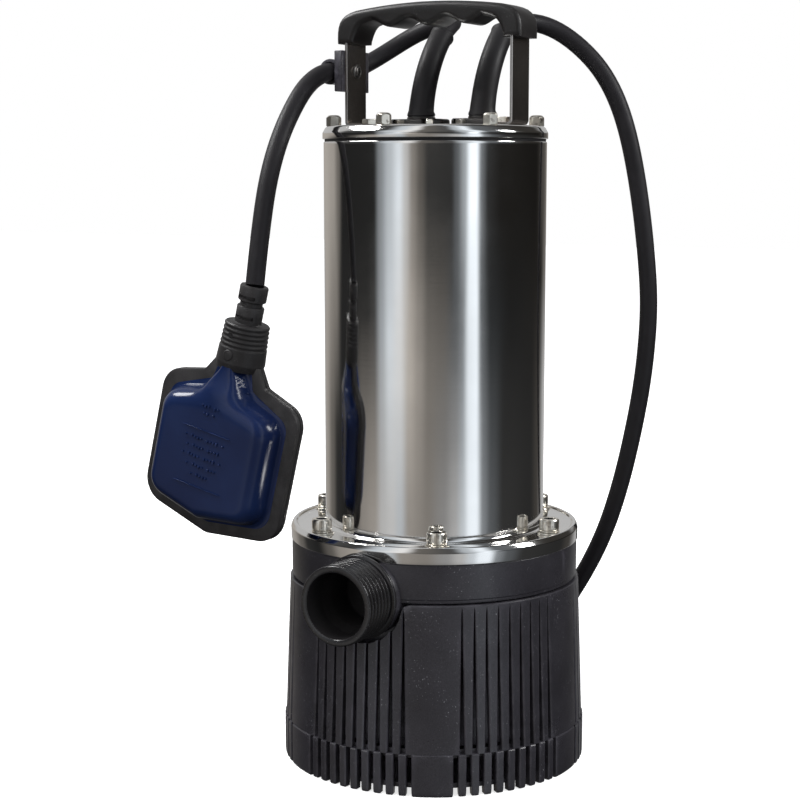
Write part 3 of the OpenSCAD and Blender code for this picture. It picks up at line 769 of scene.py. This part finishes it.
def outlet():
    """Throat, bore, flat lip of the mouth, thread, then the collar."""
    levels = [(14.5, -11.0), (14.5, 3.5), (14.8, 4.5), (16.9, 9.5), (17.2, 10.5), (17.2, 23.3), (17.35, 23.8),
              (17.65, 24.0), (20.0, 24.0), (20.4, 23.9), (20.7, 23.5)]
    start, stop, count = 23.1, 2.7, 220
    for i in range(count):
        z = start + (stop - start) * i / (count - 1)
        fade = min(1.0, (start - z) / 1.2) * min(1.0, (z - stop) / 1.0)

        def crest(a, z=z, fade=fade):
            low = THREAD_DEPTH * (1 - thread_height(z / THREAD_PITCH + a / (2 * pi)))
            return THREAD_R - low * fade - (1 - fade) * (0.15 if z > 15 else 1.2)

        levels.append((crest, z))
    levels += [(19.9, 2.4), (21.7, 2.2), (22.2, 1.8), (22.3, 1.4), (22.3, 0.5), (22.0, 0.1), (15.8, 0.0),
               (15.8, -6.3), (14.6, -6.4)]
    rings = [circle(r, z, 160) for r, z in levels]
    return along_outlet(rings_to_mesh(rings, caps=(True, False)), NIPPLE_Y)


nipple = piece("outlet_threaded", [outlet()], "outlet_black", stands_for="outlet_nipple", sharp=40)
# faces inside the bore and the throat's closed end take the duller black: painted shade deep in the outlet
second_look(nipple, "bore_black", lambda x, y, z: hypot(x, z - OUTLET_Z) < 17.3 and y > -103.3)


# ---------------- shell, lid and gasket
FLANGE_TOP = 129.2
LID_TOP = 344.7
SCREW_CIRCLE = 70
GLAND_X, GLAND_Y = 19, 18.5

piece("motor_can", [lathe(fillet([
    (58.7, 127.4), (76, 127.4), (76, 121.6, 0.3, 2), (79.0, 121.6, 0.45, 4),
    (79.1, 128.0, 2.4, 8), (77.7, 130.6, 1.1, 6), (76.3, 130.6, 0.8, 5), (75.2, FLANGE_TOP, 1.0, 5),
    (60, FLANGE_TOP, 2.4, 8), (60, 334.6), (60, 336.5, 0.6, 4), (58.7, 336.5, 0.3, 2)]), 288)],
    "stainless", stands_for="motor_shell", sharp=50)
piece("motor_lid", [lathe(fillet([
    (0, 341.7), (55, 341.7, 1.5, 4), (57.4, 339.5, 0.8, 3), (57.4, 337.9), (60.6, 337.9, 0.4, 3),
    (60.6, 341.2, 2.4, 8), (58.6, LID_TOP, 2.6, 8), (0, LID_TOP)]), 288, closed=False)],
    "stainless", stands_for="lid", sharp=50)
piece("lid_seal_ring", [lathe(fillet([(57.4, 336.3), (59.5, 336.4, 0.3, 2), (59.5, 338.0, 0.3, 2),
                                      (57.4, 338.0)]), 192)], "rubber", stands_for="lid_gasket")


# ---------------- fasteners
def knurl(r, deep=0.06):
    return lambda t: r - deep * (0.5 + 0.5 * cos(36 * t))


def socket_screw(z):
    hexa = hexagon(2.5)
    return loft([(3, z - 24), (3, z), (4.7, z), (5.1, z + 0.25), (knurl(5.3), z + 0.6), (knurl(5.3), z + 5.2),
                 (5.15, z + 5.6), (4.75, z + 6.1), (4.5, z + 6.15), (3.15, z + 6.15), (2.85, z + 5.9),
                 (hexa, z + 5.5), (hexa, z + 2.4), (1.2, z + 2.0)], 144)


def ring_part(r1, r0, z0, z1, edge=0.2, segs=72):
    return lathe(fillet([(r0, z0), (r1, z0, edge, 2), (r1, z1, edge, 3), (r0, z1, edge, 2)]), segs)


def spring_washer(z):
    """A split ring with a small step at its cut."""
    n = 64
    rings = []
    for k in range(n + 1):
        t = radians(4) + radians(352) * k / n
        dz = 0.35 * k / n
        rings.append([polar(r, t, z + dz + h) for r, h in
                      [(3.3, 0), (5.3, 0.05), (5.35, 0.2), (5.35, 0.7), (5.25, 0.8), (3.3, 0.8)]])
    return rings_to_mesh(rings)


def cap_nut(z):
    return loft([(3.3, z), (cone_cut(3.55, 3.8), z), (cone_cut(3.55, 4.1), z + 0.35),
                 (hexagon(3.55), z + 0.6), (hexagon(3.55), z + 4.3), (cone_cut(3.55, 3.95), z + 4.7),
                 (cone_cut(3.55, 3.62), z + 5.0), (3.35, z + 5.25), (3.1, z + 5.55), (2.6, z + 5.8),
                 (1.8, z + 5.93), (0.4, z + 6.0)], 72)


def hex_head(z, flat_r, high):
    return loft([(flat_r - 0.2, z), (cone_cut(flat_r, flat_r * 1.1), z + 0.1), (hexagon(flat_r), z + 0.3),
                 (hexagon(flat_r), z + high * 0.72), (cone_cut(flat_r, flat_r * 1.09), z + high * 0.88),
                 (cone_cut(flat_r, flat_r * 1.01), z + high), (flat_r * 0.8, z + high + 0.05)], 72)


heads = piece("flange_socket_screws", around(socket_screw(131.2), SCREW_CIRCLE, spin=11),
              "stainless_fastener", stands_for="flange_screws", sharp=35)


def in_socket(x, y, z):
    turn = round(atan2(y, x) / (pi / 3)) * pi / 3
    return z < 136.9 and hypot(x - SCREW_CIRCLE * cos(turn), y - SCREW_CIRCLE * sin(turn)) < 2.95


# the screws' hex sockets take the duller black: painted shade in the sockets
second_look(heads, "bore_black", in_socket)
piece("flange_washer_pairs", around(ring_part(6.3, 3.2, FLANGE_TOP, 130.2, 0.3), SCREW_CIRCLE)
      + around(spring_washer(130.2), SCREW_CIRCLE, spin=43),
      "stainless_fastener", stands_for="flange_washers", sharp=35)
piece("lid_cap_nuts", around(cap_nut(LID_TOP), 54.5, 30, spin=17), "stainless_fastener",
      stands_for="lid_nuts", sharp=30)
piece("strap_hex_bolts", [place(hex_head(346.2, 3.75, 3.0), (x, 0, 0), 12 * x) for x in (-41, 41)],
      "stainless_fastener", stands_for="strap_bolts", sharp=30)
piece("gland_hex_screws", [place(hex_head(345.8, 3.5, 3.1), (x * GLAND_X + s * 9.5, 13, 0), 20 * s + 9 * x)
                           for x in (-1, 1) for s in (-1, 1)], "stainless_fastener",
      stands_for="gland_screws", sharp=30)


# ---------------- gland plates and boots
def flat_block(outline, z0, z1, r, steps=3):
    """An outline in XY raised from z0 to z1 with rounded edges."""
    return moved(pillow(outline, z0, z1, r, steps), lambda x, y, z: (x, z, y))


def gland(x):
    """A plate with two notches for its screws in its straight edge, and a short neck."""
    half = [(12.6, -9.5), (13.4, -7), (13.6, -4.6), (12.2, -2), (9.5, -1), (6.8, -2), (5.5, -4.6),
            (5.4, -9.5)]
    notch = [(s * a, b) for s, order in ((-1, 1), (1, -1)) for a, b in half[::order]]
    corners = [(12.9, -9.5, 0.5), (16.2, -6.0, 3.2, 6), (16.2, 9.5, 8.6, 10), (-16.2, 9.5, 8.6, 10),
               (-16.2, -6.0, 3.2, 6), (-12.9, -9.5, 0.5)]
    outline = fillet([(x * GLAND_X + p[0], GLAND_Y + p[1], *p[2:]) for p in notch + corners])
    neck = lathe(fillet([(5.1, LID_TOP), (7.9, 348.9, 0.3, 2), (7.8, 350.4, 0.4, 2), (5.1, 350.4)]), 48)
    return [flat_block(outline, LID_TOP, LID_TOP + 4.5, 1.3), place(neck, (x * GLAND_X, GLAND_Y, 0))]


piece("gland_covers", gland(-1) + gland(1), "gland_black", stands_for="gland_plates")
BOOT = [[0, 350.5], [0, 353.5], [0.9, 358], [2.6, 364], [5.6, 371.5], [9.6, 379], [14.4, 386], [19.6, 392],
        [25, 397]]


def boot(x):
    """A tapering boot along BOOT, with a bead at its foot and another at its mouth."""
    line = smooth_path([[x * GLAND_X, GLAND_Y + y, z] for y, z in BOOT], 0.8)
    d = distances(line)
    total = d[-1]
    radii = []
    for s in d:
        r = 6.85 - 0.6 * s / total
        r += 0.75 * exp(-((s - 1.2) / 1.1) ** 2) + 0.25 * exp(-(s / 6.0) ** 2)
        r += 0.62 * exp(-((s - (total - 2.0)) / 1.0) ** 2)
        r -= 0.3 * max(0.0, (s - (total - 0.6)) / 0.6)
        radii.append(r)
    return tube(line, radii, 40)


piece("float_cable_boot", [boot(-1)], "rubber", stands_for="float_boot")
piece("supply_cable_boot", [boot(1)], "rubber", stands_for="supply_boot")


# ---------------- straps, grip and clip
def strap(side):
    """Bent strip: foot on the lid, a rounded bend, and the upright."""
    x = 50.1
    t = 0.75
    foot = LID_TOP + t
    bend = 2.2
    line = [(36, foot)]
    for k in range(9):
        a = pi / 2 * k / 8
        line.append((x - bend + bend * sin(a), foot + bend * (1 - cos(a))))
    line += [(x, 360), (x, 380), (x, 401.7)]
    p = np.array(line, float)
    d = np.gradient(p, axis=0)
    d /= lengths(d)[:, None]
    nrm = np.stack([-d[:, 1], d[:, 0]], 1)
    rings = []
    for q, n, (px, pz) in zip(p, nrm, p):
        width = 8.0 if px < 47 else 10.0
        e = 0.22
        ring = []
        for u, v in [(-t, -width + e), (-t + e, -width), (t - e, -width), (t, -width + e), (t, width - e),
                     (t - e, width), (-t + e, width), (-t, width - e)]:
            w = q + n * u
            ring.append((side * w[0], v, w[1]))
        rings.append(ring)
    return rings_to_mesh(rings)


piece("strap_neg_x", [strap(-1)], "stainless_strap", stands_for="strap_left", sharp=30)
piece("strap_pos_x", [strap(1)], "stainless_strap", stands_for="strap_right", sharp=30)


GROOVE = 23


def under(x):
    """Height of the grip's wavy underside."""
    return 399.25 - 1.75 * cos(2 * pi * x / GROOVE)


def grip_outline():
    half = [(x, under(x)) for x in np.arange(0, 38.8, 1.25)]
    half += [(40.0, 399.6), (41.3, 398.7), (42.5, 397.2), (43.6, 395.2), (44.5, 393.0), (45.1, 391.2),
             (45.3, 389.5), (55.5, 389.5), (55.6, 392.5), (55.5, 395.5), (55.1, 398.2), (54.2, 400.8),
             (52.6, 403.0), (50.4, 404.7), (47.6, 405.9)]
    half += [(x, 410 - 0.0016 * x * x) for x in np.arange(44, 1, -4)]
    left = [(-x, z) for x, z in half[::-1] if x > 0]
    return half + left


def grip():
    """Handle with finger grooves that deepen towards its front and back edges."""
    def deepened(x, y, z):
        edge = max(0.0, (abs(y) - 5.0) / 6.5)
        low = min(1.0, max(0.0, (404.0 - z) / 2.5))
        scoop = 0.5 + 0.5 * cos(2 * pi * (abs(x) - GROOVE / 2) / GROOVE) if abs(x) < 1.5 * GROOVE else 0.0
        return (x, y, z + 1.1 * scoop * low * edge ** 1.5)

    return moved(pillow(grip_outline(), -11.5, 11.5, 3.0, 6), deepened)


piece("handle_grip", [grip()], "grip_black", stands_for="grip", sharp=60)


def clip():
    """A block on the strap, and an open ring round the cable with a rounded lip at each end."""
    x0, x1 = -50.86, -56.1
    cable_x, cable_z = -62.1, 375
    gap = 148
    block = pillow(fillet([(x1, 364, 0.5, 3), (x0, 364, 0.3, 2), (x0, 386, 0.3, 2), (x1, 386, 0.5, 3)]),
                   -12.5, 15.5, 0.5, 2)
    rib = pillow(fillet([(-57.6, 371.5, 0.3, 2), (-55.8, 371.5), (-55.8, 378.5), (-57.6, 378.5, 0.3, 2)]),
                 -7.4, 7.4, 0.3, 2)
    section = [(5.12, -7.6), (5.4, -8), (6.5, -8), (6.95, -7.5), (6.95, 7.5), (6.5, 8), (5.4, 8), (5.12, 7.6)]
    rings = []
    for k in range(49):
        a = radians(-gap + 2 * gap * k / 48)
        rings.append([(cable_x + r * cos(a), y, cable_z + r * sin(a)) for r, y in section])
    lips = []
    for s in (-1, 1):
        x, z, _ = polar(6.05, radians(gap * s))
        lip = loft([(0.7, -7.6), (1.0, -7.3), (1.0, 7.3), (0.7, 7.6)], 20)
        lips.append(moved(lip, lambda u, v, w: (cable_x + x + u, w, cable_z + z + v)))
    return [block, rings_to_mesh(rings), rib] + lips


piece("cable_clip_body", clip(), "black_plastic", stands_for="cable_clip", sharp=35)
clip_head = loft([(3.6, 0), (3.9, 0.1), (4.0, 0.35), (3.8, 0.7), (3.2, 1.0), (2.75, 1.1), (2.45, 1.6),
                  (2.1, 1.75), (1.85, 1.6), (hexagon(1.5), 1.3), (hexagon(1.5), 0.5), (0.6, 0.4)], 48)
piece("clip_screw_head", [moved(clip_head, lambda u, v, w: (-49.35 + w, u, 375 + v))], "dark_steel",
      stands_for="clip_screw", sharp=35)


# ---------------- float
LEAN = radians(13.5)
NECK = np.array([-72.3, -81.0, 221.0])


def in_float(part):
    """From the float's own frame (U across, Y through, Z up the neck) to the row frame."""
    c, s = cos(LEAN), sin(LEAN)
    return moved(part, lambda x, y, z: (NECK[0] + c * x + s * z, NECK[1] + y, NECK[2] - s * x + c * z))


def float_outline(d, rounder=0.0):
    """The float's outline drawn in by d all round; the neck never closes up."""
    w = 44.5 - d
    k = max(3.0, 12.5 + rounder - 0.6 * d)
    throat = max(3.5, 13 - 0.55 * d)
    flare = max(19.5 - d, throat + 0.6)
    s = [(throat, 0.5, 0.5, 2), (flare, -9 - 0.5 * d, 3.5, 6), (w, -16 - 1.1 * d, k, 10),
         (w, -87 + 0.9 * d, k + 1.5, 10), (0, -96 + 1.05 * d, 9 + rounder, 7)]
    return fillet(s + [(-p[0], p[1], *p[2:]) for p in s[3::-1]])


def rim():
    """The float's black band: rounded edges, and a groove where its halves meet."""
    levels = [(0.9, -3.5), (0.25, -3.2), (0, -2.6), (0, -0.5), (0.35, -0.25), (0.35, 0.25), (0, 0.5),
              (0, 2.6), (0.25, 3.2), (0.9, 3.5), (6.8, 3.5), (6.8, -3.5)]
    return rings_to_mesh([[(x, y, z) for x, z in float_outline(d)] for d, y in levels], close=True)


def dense(outline, step):
    """The outline with extra points on its long edges."""
    out = []
    for a, b in zip(outline, outline[1:] + outline[:1]):
        n = max(1, int(hypot(*(np.array(b) - np.array(a))) / step))
        out += [np.array(a) + (np.array(b) - np.array(a)) * k / n for k in range(n)]
    return np.array(out)


def edge_distance(points, outline):
    """How far each point is from the float's edge, its neck's open end left out."""
    a = np.array(outline)
    b = np.roll(a, -1, 0)
    keep = ~((a[:, 1] > 0.2) & (b[:, 1] > 0.2))
    a, b = a[keep], b[keep]
    ab = b - a
    t = np.clip(((points[:, None] - a) * ab).sum(2) / np.maximum((ab ** 2).sum(1), 1e-9), 0, 1)
    return np.linalg.norm(points[:, None] - (a + ab * t[..., None]), axis=2).min(1)


def dome_height(d, z):
    """Height of the shell's face: a ledge, a steep wall, a soft shoulder, and lower at the neck."""
    ledge = np.interp(d, [6.2, 8.2, 8.6], [3.6, 4.3, 4.9])
    t = np.clip((d - 8.6) / 9.0, 0, 1)
    crown = 4.9 + 14.6 * np.sqrt(1 - (1 - t) ** 2) + 0.3 * np.clip((d - 17.6) / 20, 0, 1)
    face = np.where(d < 8.6, ledge, crown)
    limit = 12.2 + 7.8 / (1 + np.exp((z + 12.0) / 3.2))
    return -1.2 * np.log(np.exp(-face / 1.2) + np.exp(-limit / 1.2))


def dome(side):
    """One half of the float, as rings from its edge in to a spine down its middle."""
    outer = dense(float_outline(6.2), 1.6)
    edge = float_outline(0, 8.0)
    spine = np.stack([np.zeros(len(outer)), np.clip(outer[:, 1], -64, -1.5)], 1)
    reach = lengths(spine - outer)
    depths = [0, 0.05, 1.0, 2.0, 2.4, 2.45, 2.6, 2.9, 3.4, 4.0, 4.7, 5.5, 6.4, 7.4, 8.5, 9.7, 11.0, 12.6, 15,
              19, 26, 40]
    rings = []
    for k, depth in enumerate(depths):
        share = np.minimum(depth / reach, k / (len(depths) - 1))
        q = outer + (spine - outer) * share[:, None]
        h = np.full(len(q), 2.8) if k == 0 else dome_height(edge_distance(q, edge), q[:, 1])
        rings.append([(x, side * y, z) for (x, z), y in zip(q, h)])
    return rings_to_mesh(rings, caps=(False, False))


def boxy(x0, x1, z0, z1, y0, y1):
    """A thin raised bar on the float's face, with soft edges."""
    return pillow([(x0, z0), (x1, z0), (x1, z1), (x0, z1)], y0, y1, 0.12, 2)


def generic_marks(side):
    """Rows of small raised dots between two thin lines: no lettering."""
    y0, y1 = (19.2, 19.95) if side > 0 else (-19.95, -19.2)
    marks = [(-15, 15, -36.2, -35.9), (-15, 15, -67.2, -66.9)]
    for row, half in ((-41, 12.6), (-46, 10.8), (-51, 12.6), (-56, 9.0), (-61, 5.4), (-27, 3.6), (-23, 5.4)):
        for k in range(int(half) + 1):
            x = -half + 2.0 * k
            if (k + row) % 5:
                low, high = 0.45 + 0.5 * (k % 3 == 1), 0.45 + 0.5 * (k % 4 == 2)
                marks.append((x - 0.45, x + 0.45, row - low, row + high))
    return [boxy(a, b, c, d, y0, y1) for a, b, c, d in marks]


def neck():
    """A tapered sleeve with fine grooves, then two collars, with a round boss and a small hole in front."""
    profile = [(12.0, -3.0), (13.1, 0.2), (13.2, 1.0)]
    for k in range(60):
        z = 1.5 + 19.3 * k / 59
        base = 13.2 - 1.2 * z / 21.5
        groove = 0.42 * (0.5 - 0.5 * cos(2 * pi * (z - 8.3) / 2.45)) if z > 8.3 else 0.0
        profile.append((base - groove, z))
    profile += [(11.9, 21.0), (11.4, 21.5), (7.7, 21.6), (7.2, 22.0), (7.2, 24.1), (7.2, 24.3), (7.2, 25.7),
                (7.2, 25.9), (7.25, 30.4), (6.9, 30.9), (6.0, 31.0), (6.0, 33.4), (6.8, 33.5), (7.45, 34.0),
                (7.5, 34.8), (7.5, 35.0), (7.5, 36.5), (7.5, 36.7), (7.55, 41.0), (7.2, 41.8), (6.6, 42.0),
                (5.1, 42.0), (5.0, 40.5)]
    body = notched(lathe(profile, 96, closed=False))
    boss = loft([(2.9, 0), (2.9, 0.9), (2.6, 1.15), (2.2, 1.2)], 40)
    boss = moved(boss, lambda x, y, w: (x, -12.2 - w, 5.0 + y))
    eye = lathe([(0.9, -0.9), (0.95, 0.25), (1.5, 0.3), (1.6, -0.2)], 24, closed=False)
    eye = moved(eye, lambda x, y, w: (x - 1.2, -12.0 - w, 15.6 + y))
    return [body, boss, eye]


def eye_shade_disc():
    """A disc at the bottom of the sleeve's small hole, all in the duller black: painted shade in the hole."""
    disc = lathe([(0.0, 0.0), (1.35, 0.0), (1.35, -0.3)], 24, closed=False)
    return moved(disc, lambda x, y, w: (x - 1.2, -12.5 - w, 15.6 + y))


def notched(part):
    """Presses two short slots into the front of the sleeve's collars."""
    def press(x, y, z):
        r = hypot(x, y)
        side = abs(atan2(x, -y))
        if r > 6 and ((side < 0.75 and 34.9 < z < 36.6) or (side < 0.9 and 24.2 < z < 25.8)):
            return (x * (r - 1.6) / r, y * (r - 1.6) / r, z)
        return (x, y, z)

    return moved(part, press)


piece("float_rim_band", [in_float(rim())], "float_black", body="float", stands_for="float_rim", sharp=40)
piece("float_shell_front", [in_float(dome(-1))] + [in_float(m) for m in generic_marks(-1)], "float_navy",
      body="float", stands_for="float_front", sharp=60)
piece("float_shell_back", [in_float(dome(1))] + [in_float(m) for m in generic_marks(1)], "float_navy",
      body="float", stands_for="float_back", sharp=60)
piece("float_neck_sleeve", [in_float(p) for p in neck()], "float_black", body="float",
      stands_for="float_neck", sharp=40)
hole_shade = piece("float_neck_hole", [in_float(eye_shade_disc())], "float_black", body="float", sharp=40)
# painted shade: the whole disc takes the duller black
second_look(hole_shade, "bore_black", lambda x, y, z: True)


# ---------------- coil ties and plug
def coil_part(part):
    return moved(part, lambda x, y, z: coil_to_row((x, y, z)))


def tie(angle):
    """A strap round the coil's section, with a small buckle on top."""
    r0, r1 = COIL_R - 22.3, COIL_R + 22.1
    band = fillet([(r0, 0.05, 6, 6), (r1, 0.05, 6, 6), (r1, 53.0, 6, 6), (r0, 53.0, 6, 6)])
    inner = fillet([(r0 + 1, 0.8, 5, 6), (r1 - 1, 0.8, 5, 6), (r1 - 1, 52.1, 5, 6), (r0 + 1, 52.1, 5, 6)])
    rings = []
    for (r, z), (ri, zi) in zip(band, inner):
        rings.append([(r, -5.4, z), (r, 5.4, z), (ri, 5.4, zi), (ri, -5.4, zi)])
    parts = [rings_to_mesh(rings, close=True)]
    corners = [(-5, -7), (5, -7), (5, 7), (-5, 7)]
    buckle = flat_block(fillet([(*c, 1, 3) for c in corners]), 52.6, 53.6, 0.4, 2)
    parts.append(place(buckle, (COIL_R, 0, 0)))
    return [coil_part(place(p, spin=angle)) for p in parts]


ties = piece("coil_tie_straps", tie(200) + tie(340), "tie_plastic", stands_for="coil_ties", sharp=35)


def on_plug(part):
    """A part built up +Z, put on the plug's axis, which runs along the coil frame's X."""
    return coil_part(moved(part, lambda u, v, w: (-26 + w, 60 + u, PLUG_Z + v)))


def plug_shape():
    """A ribbed strain relief, then the round body."""
    levels = [(5.2, 0)]
    for k in range(26):
        levels.append((6.3 + 2.7 * k / 25 - (0.9 if k % 4 in (2, 3) and 2 < k < 23 else 0), k))
    levels += [(11, 25.4), (14, 25.9), (15.6, 27.4), (17.4, 32), (18.5, 37), (19, 39), (19, 42), (18.4, 42.6),
               (18.4, 45), (19, 45.6), (19, 66.4), (18.6, 67.6), (17.8, 68), (10, 68)]
    return [on_plug(loft(levels, 64))]


def plug_pin(side):
    pin = loft([(2.4, 67.8), (2.4, 85.4), (2.1, 86.5), (1.2, 87)], 32)
    return on_plug(moved(pin, lambda u, v, w: (u + side * 9.5, v, w)))


plug = piece("mains_plug", plug_shape(), "plug_black", stands_for="plug_body", sharp=35)
pins = piece("mains_plug_pins", [plug_pin(-1), plug_pin(1)], "nickel", stands_for="plug_pins", sharp=35)


# ---------------- floor, lights and surroundings
def floor():
    """White and glowing, with a painted shadow: the glow dims to a faint grey pool under the pump."""
    mesh = bpy.data.meshes.new("floor")
    mesh.from_pydata([(6 * x, 6 * y, 0) for x, y in ((-1, -1), (1, -1), (1, 1), (-1, 1))], [], [[0, 1, 2, 3]])
    s = Shade("floor", (0.86, 0.86, 0.86), 0.9, spec=0.1)
    away = add_node(s.tree, "VectorMath", {0: s.coord}, operation="LENGTH").outputs["Value"]
    s.inputs["Emission Color"].default_value = (1, 1, 1, 1)
    # painted shadow: the glow is weaker near the pump
    feed(s.tree, s.inputs["Emission Strength"], s.remap(away, 0.1, 0.45, 0.72, 0.98))
    mesh.materials.append(s.mat)
    ob = add_object("floor", mesh)
    ob.visible_glossy = False
    ob.visible_diffuse = False


floor()


def area_light(name, azimuth, elevation, distance, size, power, glossy=True):
    """A softbox at an azimuth clockwise from the camera's side, aimed at the pump's middle."""
    data = bpy.data.lights.new(name, "AREA")
    data.shape = "RECTANGLE"
    data.size, data.size_y = size
    data.energy = power
    ob = add_object(name, data)
    a = VIEW_SIDE + radians(azimuth)
    e = radians(elevation)
    back = Vector((sin(a) * cos(e), -cos(a) * cos(e), sin(e)))
    ob.location = Vector((0, 0, 0.2)) + back * distance
    aim(ob, -back)
    ob.visible_camera = False
    ob.visible_glossy = glossy


area_light("key_left", -42, 30, 1.6, (0.7, 1.2), 9, glossy=False)
area_light("key_right", 42, 28, 1.7, (0.4, 1.2), 8, glossy=False)
area_light("top", 10, 78, 1.5, (1.4, 1.4), 6, glossy=False)
area_light("front_fill", 0, 12, 2.6, (1.8, 1.4), 7, glossy=False)
area_light("overhead_strip", -100, 48, 1.3, (0.6, 0.32), 13)
area_light("side_strip", 80, 30, 1.5, (0.3, 0.6), 10)


# neutral, warm and cool
TONES = {"n": (1.0, 1.0, 1.0), "w": (1.0, 0.93, 0.85), "c": (0.9, 0.97, 1.04)}


def surroundings():
    """White behind everything; reflections see a dim studio with soft upright panels."""
    world = bpy.data.worlds.new("studio")
    bpy.context.scene.world = world
    world.use_nodes = True
    tree = world.node_tree
    tree.nodes.clear()
    coord = add_node(tree, "TexCoord", {}).outputs["Generated"]
    turned = add_node(tree, "Mapping", {"Rotation": (0, 0, -VIEW_SIDE), "Vector": coord}, vector_type="POINT")
    axes = add_node(tree, "SeparateXYZ", {"Vector": turned.outputs["Vector"]}).outputs

    # azimuth 0 is the camera's side, growing clockwise seen from above, as a share of a turn
    angle = math_node(tree, "ARCTAN2", axes["X"], math_node(tree, "MULTIPLY", axes["Y"], -1.0))
    share = math_node(tree, "ADD", math_node(tree, "DIVIDE", angle, 2 * pi), 0.5)

    def ramp(stops):
        """A band of (azimuth, level, tone) stops all round."""
        node = add_node(tree, "ValToRGB", {"Fac": share})
        node.color_ramp.interpolation = "EASE"
        elements = node.color_ramp.elements
        while len(elements) < len(stops):
            elements.new(0.5)
        for element, (azimuth, level, tone) in zip(elements, stops):
            element.position = azimuth / 360 + 0.5
            element.color = tuple(level * c for c in TONES[tone]) + (1,)
        return node.outputs["Color"]

    high = ramp([(-180, 0.28, "w"), (-152, 0.31, "w"), (-130, 0.27, "w"), (-119, 0.12, "w"),
                 (-111, 0.012, "n"), (-66, 0.014, "n"), (-59, 0.2, "c"), (-48, 0.43, "c"), (-38, 0.66, "c"),
                 (-31, 0.4, "n"), (-24, 0.17, "w"), (-16, 0.075, "w"), (-8, 0.026, "n"), (15, 0.022, "n"),
                 (21, 0.09, "c"), (29, 0.32, "c"), (35, 0.98, "c"), (41, 1.0, "c"), (46, 0.14, "c"),
                 (54, 0.02, "n"), (70, 0.01, "w"), (125, 0.008, "w"), (150, 0.06, "w"), (168, 0.18, "w"),
                 (179, 0.28, "w")])
    middle = ramp([(-180, 0.28, "n"), (-152, 0.29, "w"), (-125, 0.18, "w"), (-113, 0.015, "n"),
                   (-75, 0.02, "n"), (-66, 0.04, "n"), (-57, 0.32, "c"), (-48, 0.6, "c"), (-37, 0.57, "n"),
                   (-27, 0.4, "w"), (-17, 0.26, "w"), (-7, 0.14, "w"), (6, 0.11, "w"), (20, 0.075, "c"),
                   (27, 0.12, "c"), (34, 0.7, "c"), (42, 0.82, "c"), (47, 0.1, "c"), (58, 0.022, "c"),
                   (85, 0.012, "n"), (140, 0.013, "w"), (157, 0.12, "w"), (179, 0.28, "n")])
    low = ramp([(-180, 0.42, "n"), (-152, 0.24, "w"), (-134, 0.1, "w"), (-122, 0.02, "n"),
                (-106, 0.013, "n"), (-92, 0.08, "w"), (-80, 0.21, "w"), (-66, 0.26, "w"), (-56, 0.38, "n"),
                (-45, 0.42, "n"), (-37, 0.4, "c"), (-27, 0.22, "w"), (-8, 0.18, "w"), (8, 0.22, "n"),
                (20, 0.36, "n"), (29, 0.52, "c"), (36, 0.8, "c"), (43, 0.82, "c"), (50, 0.2, "c"),
                (60, 0.08, "c"), (75, 0.025, "n"), (118, 0.018, "n"), (134, 0.04, "w"), (160, 0.35, "n"),
                (179, 0.42, "n")])
    sky = ramp([(-180, 0.38, "n"), (-125, 0.36, "n"), (-105, 0.06, "n"), (-70, 0.03, "n"), (-50, 0.5, "c"),
                (-30, 0.65, "n"), (-15, 0.1, "w"), (15, 0.06, "n"), (28, 0.4, "c"), (42, 0.8, "c"),
                (55, 0.1, "c"), (105, 0.025, "w"), (134, 0.03, "w"), (152, 0.33, "n"), (179, 0.38, "n")])
    ground = ramp([(-180, 0.04, "n"), (179, 0.04, "n")])

    def between(a, b, lo, hi):
        """a below the height lo on the sky's unit sphere, b above hi."""
        return mix_colors(tree, map_range(tree, axes["Z"], lo, hi, 0.0, 1.0), a, b)

    panels = between(between(low, middle, -0.114, -0.052), high, -0.049, -0.012)
    panels = between(between(ground, panels, -0.6, -0.38), sky, 0.04, 0.11)
    dim = add_node(tree, "Background", {"Color": panels, "Strength": 1.35}).outputs["Background"]
    white = add_node(tree, "Background", {"Color": (1, 1, 1, 1)}).outputs["Background"]
    seen = add_node(tree, "LightPath", {}).outputs["Is Camera Ray"]
    both = add_node(tree, "MixShader", {"Fac": seen, 1: dim, 2: white}).outputs["Shader"]
    add_node(tree, "OutputWorld", {"Surface": both})


surroundings()
bpy.context.scene.view_settings.view_transform = "Standard"
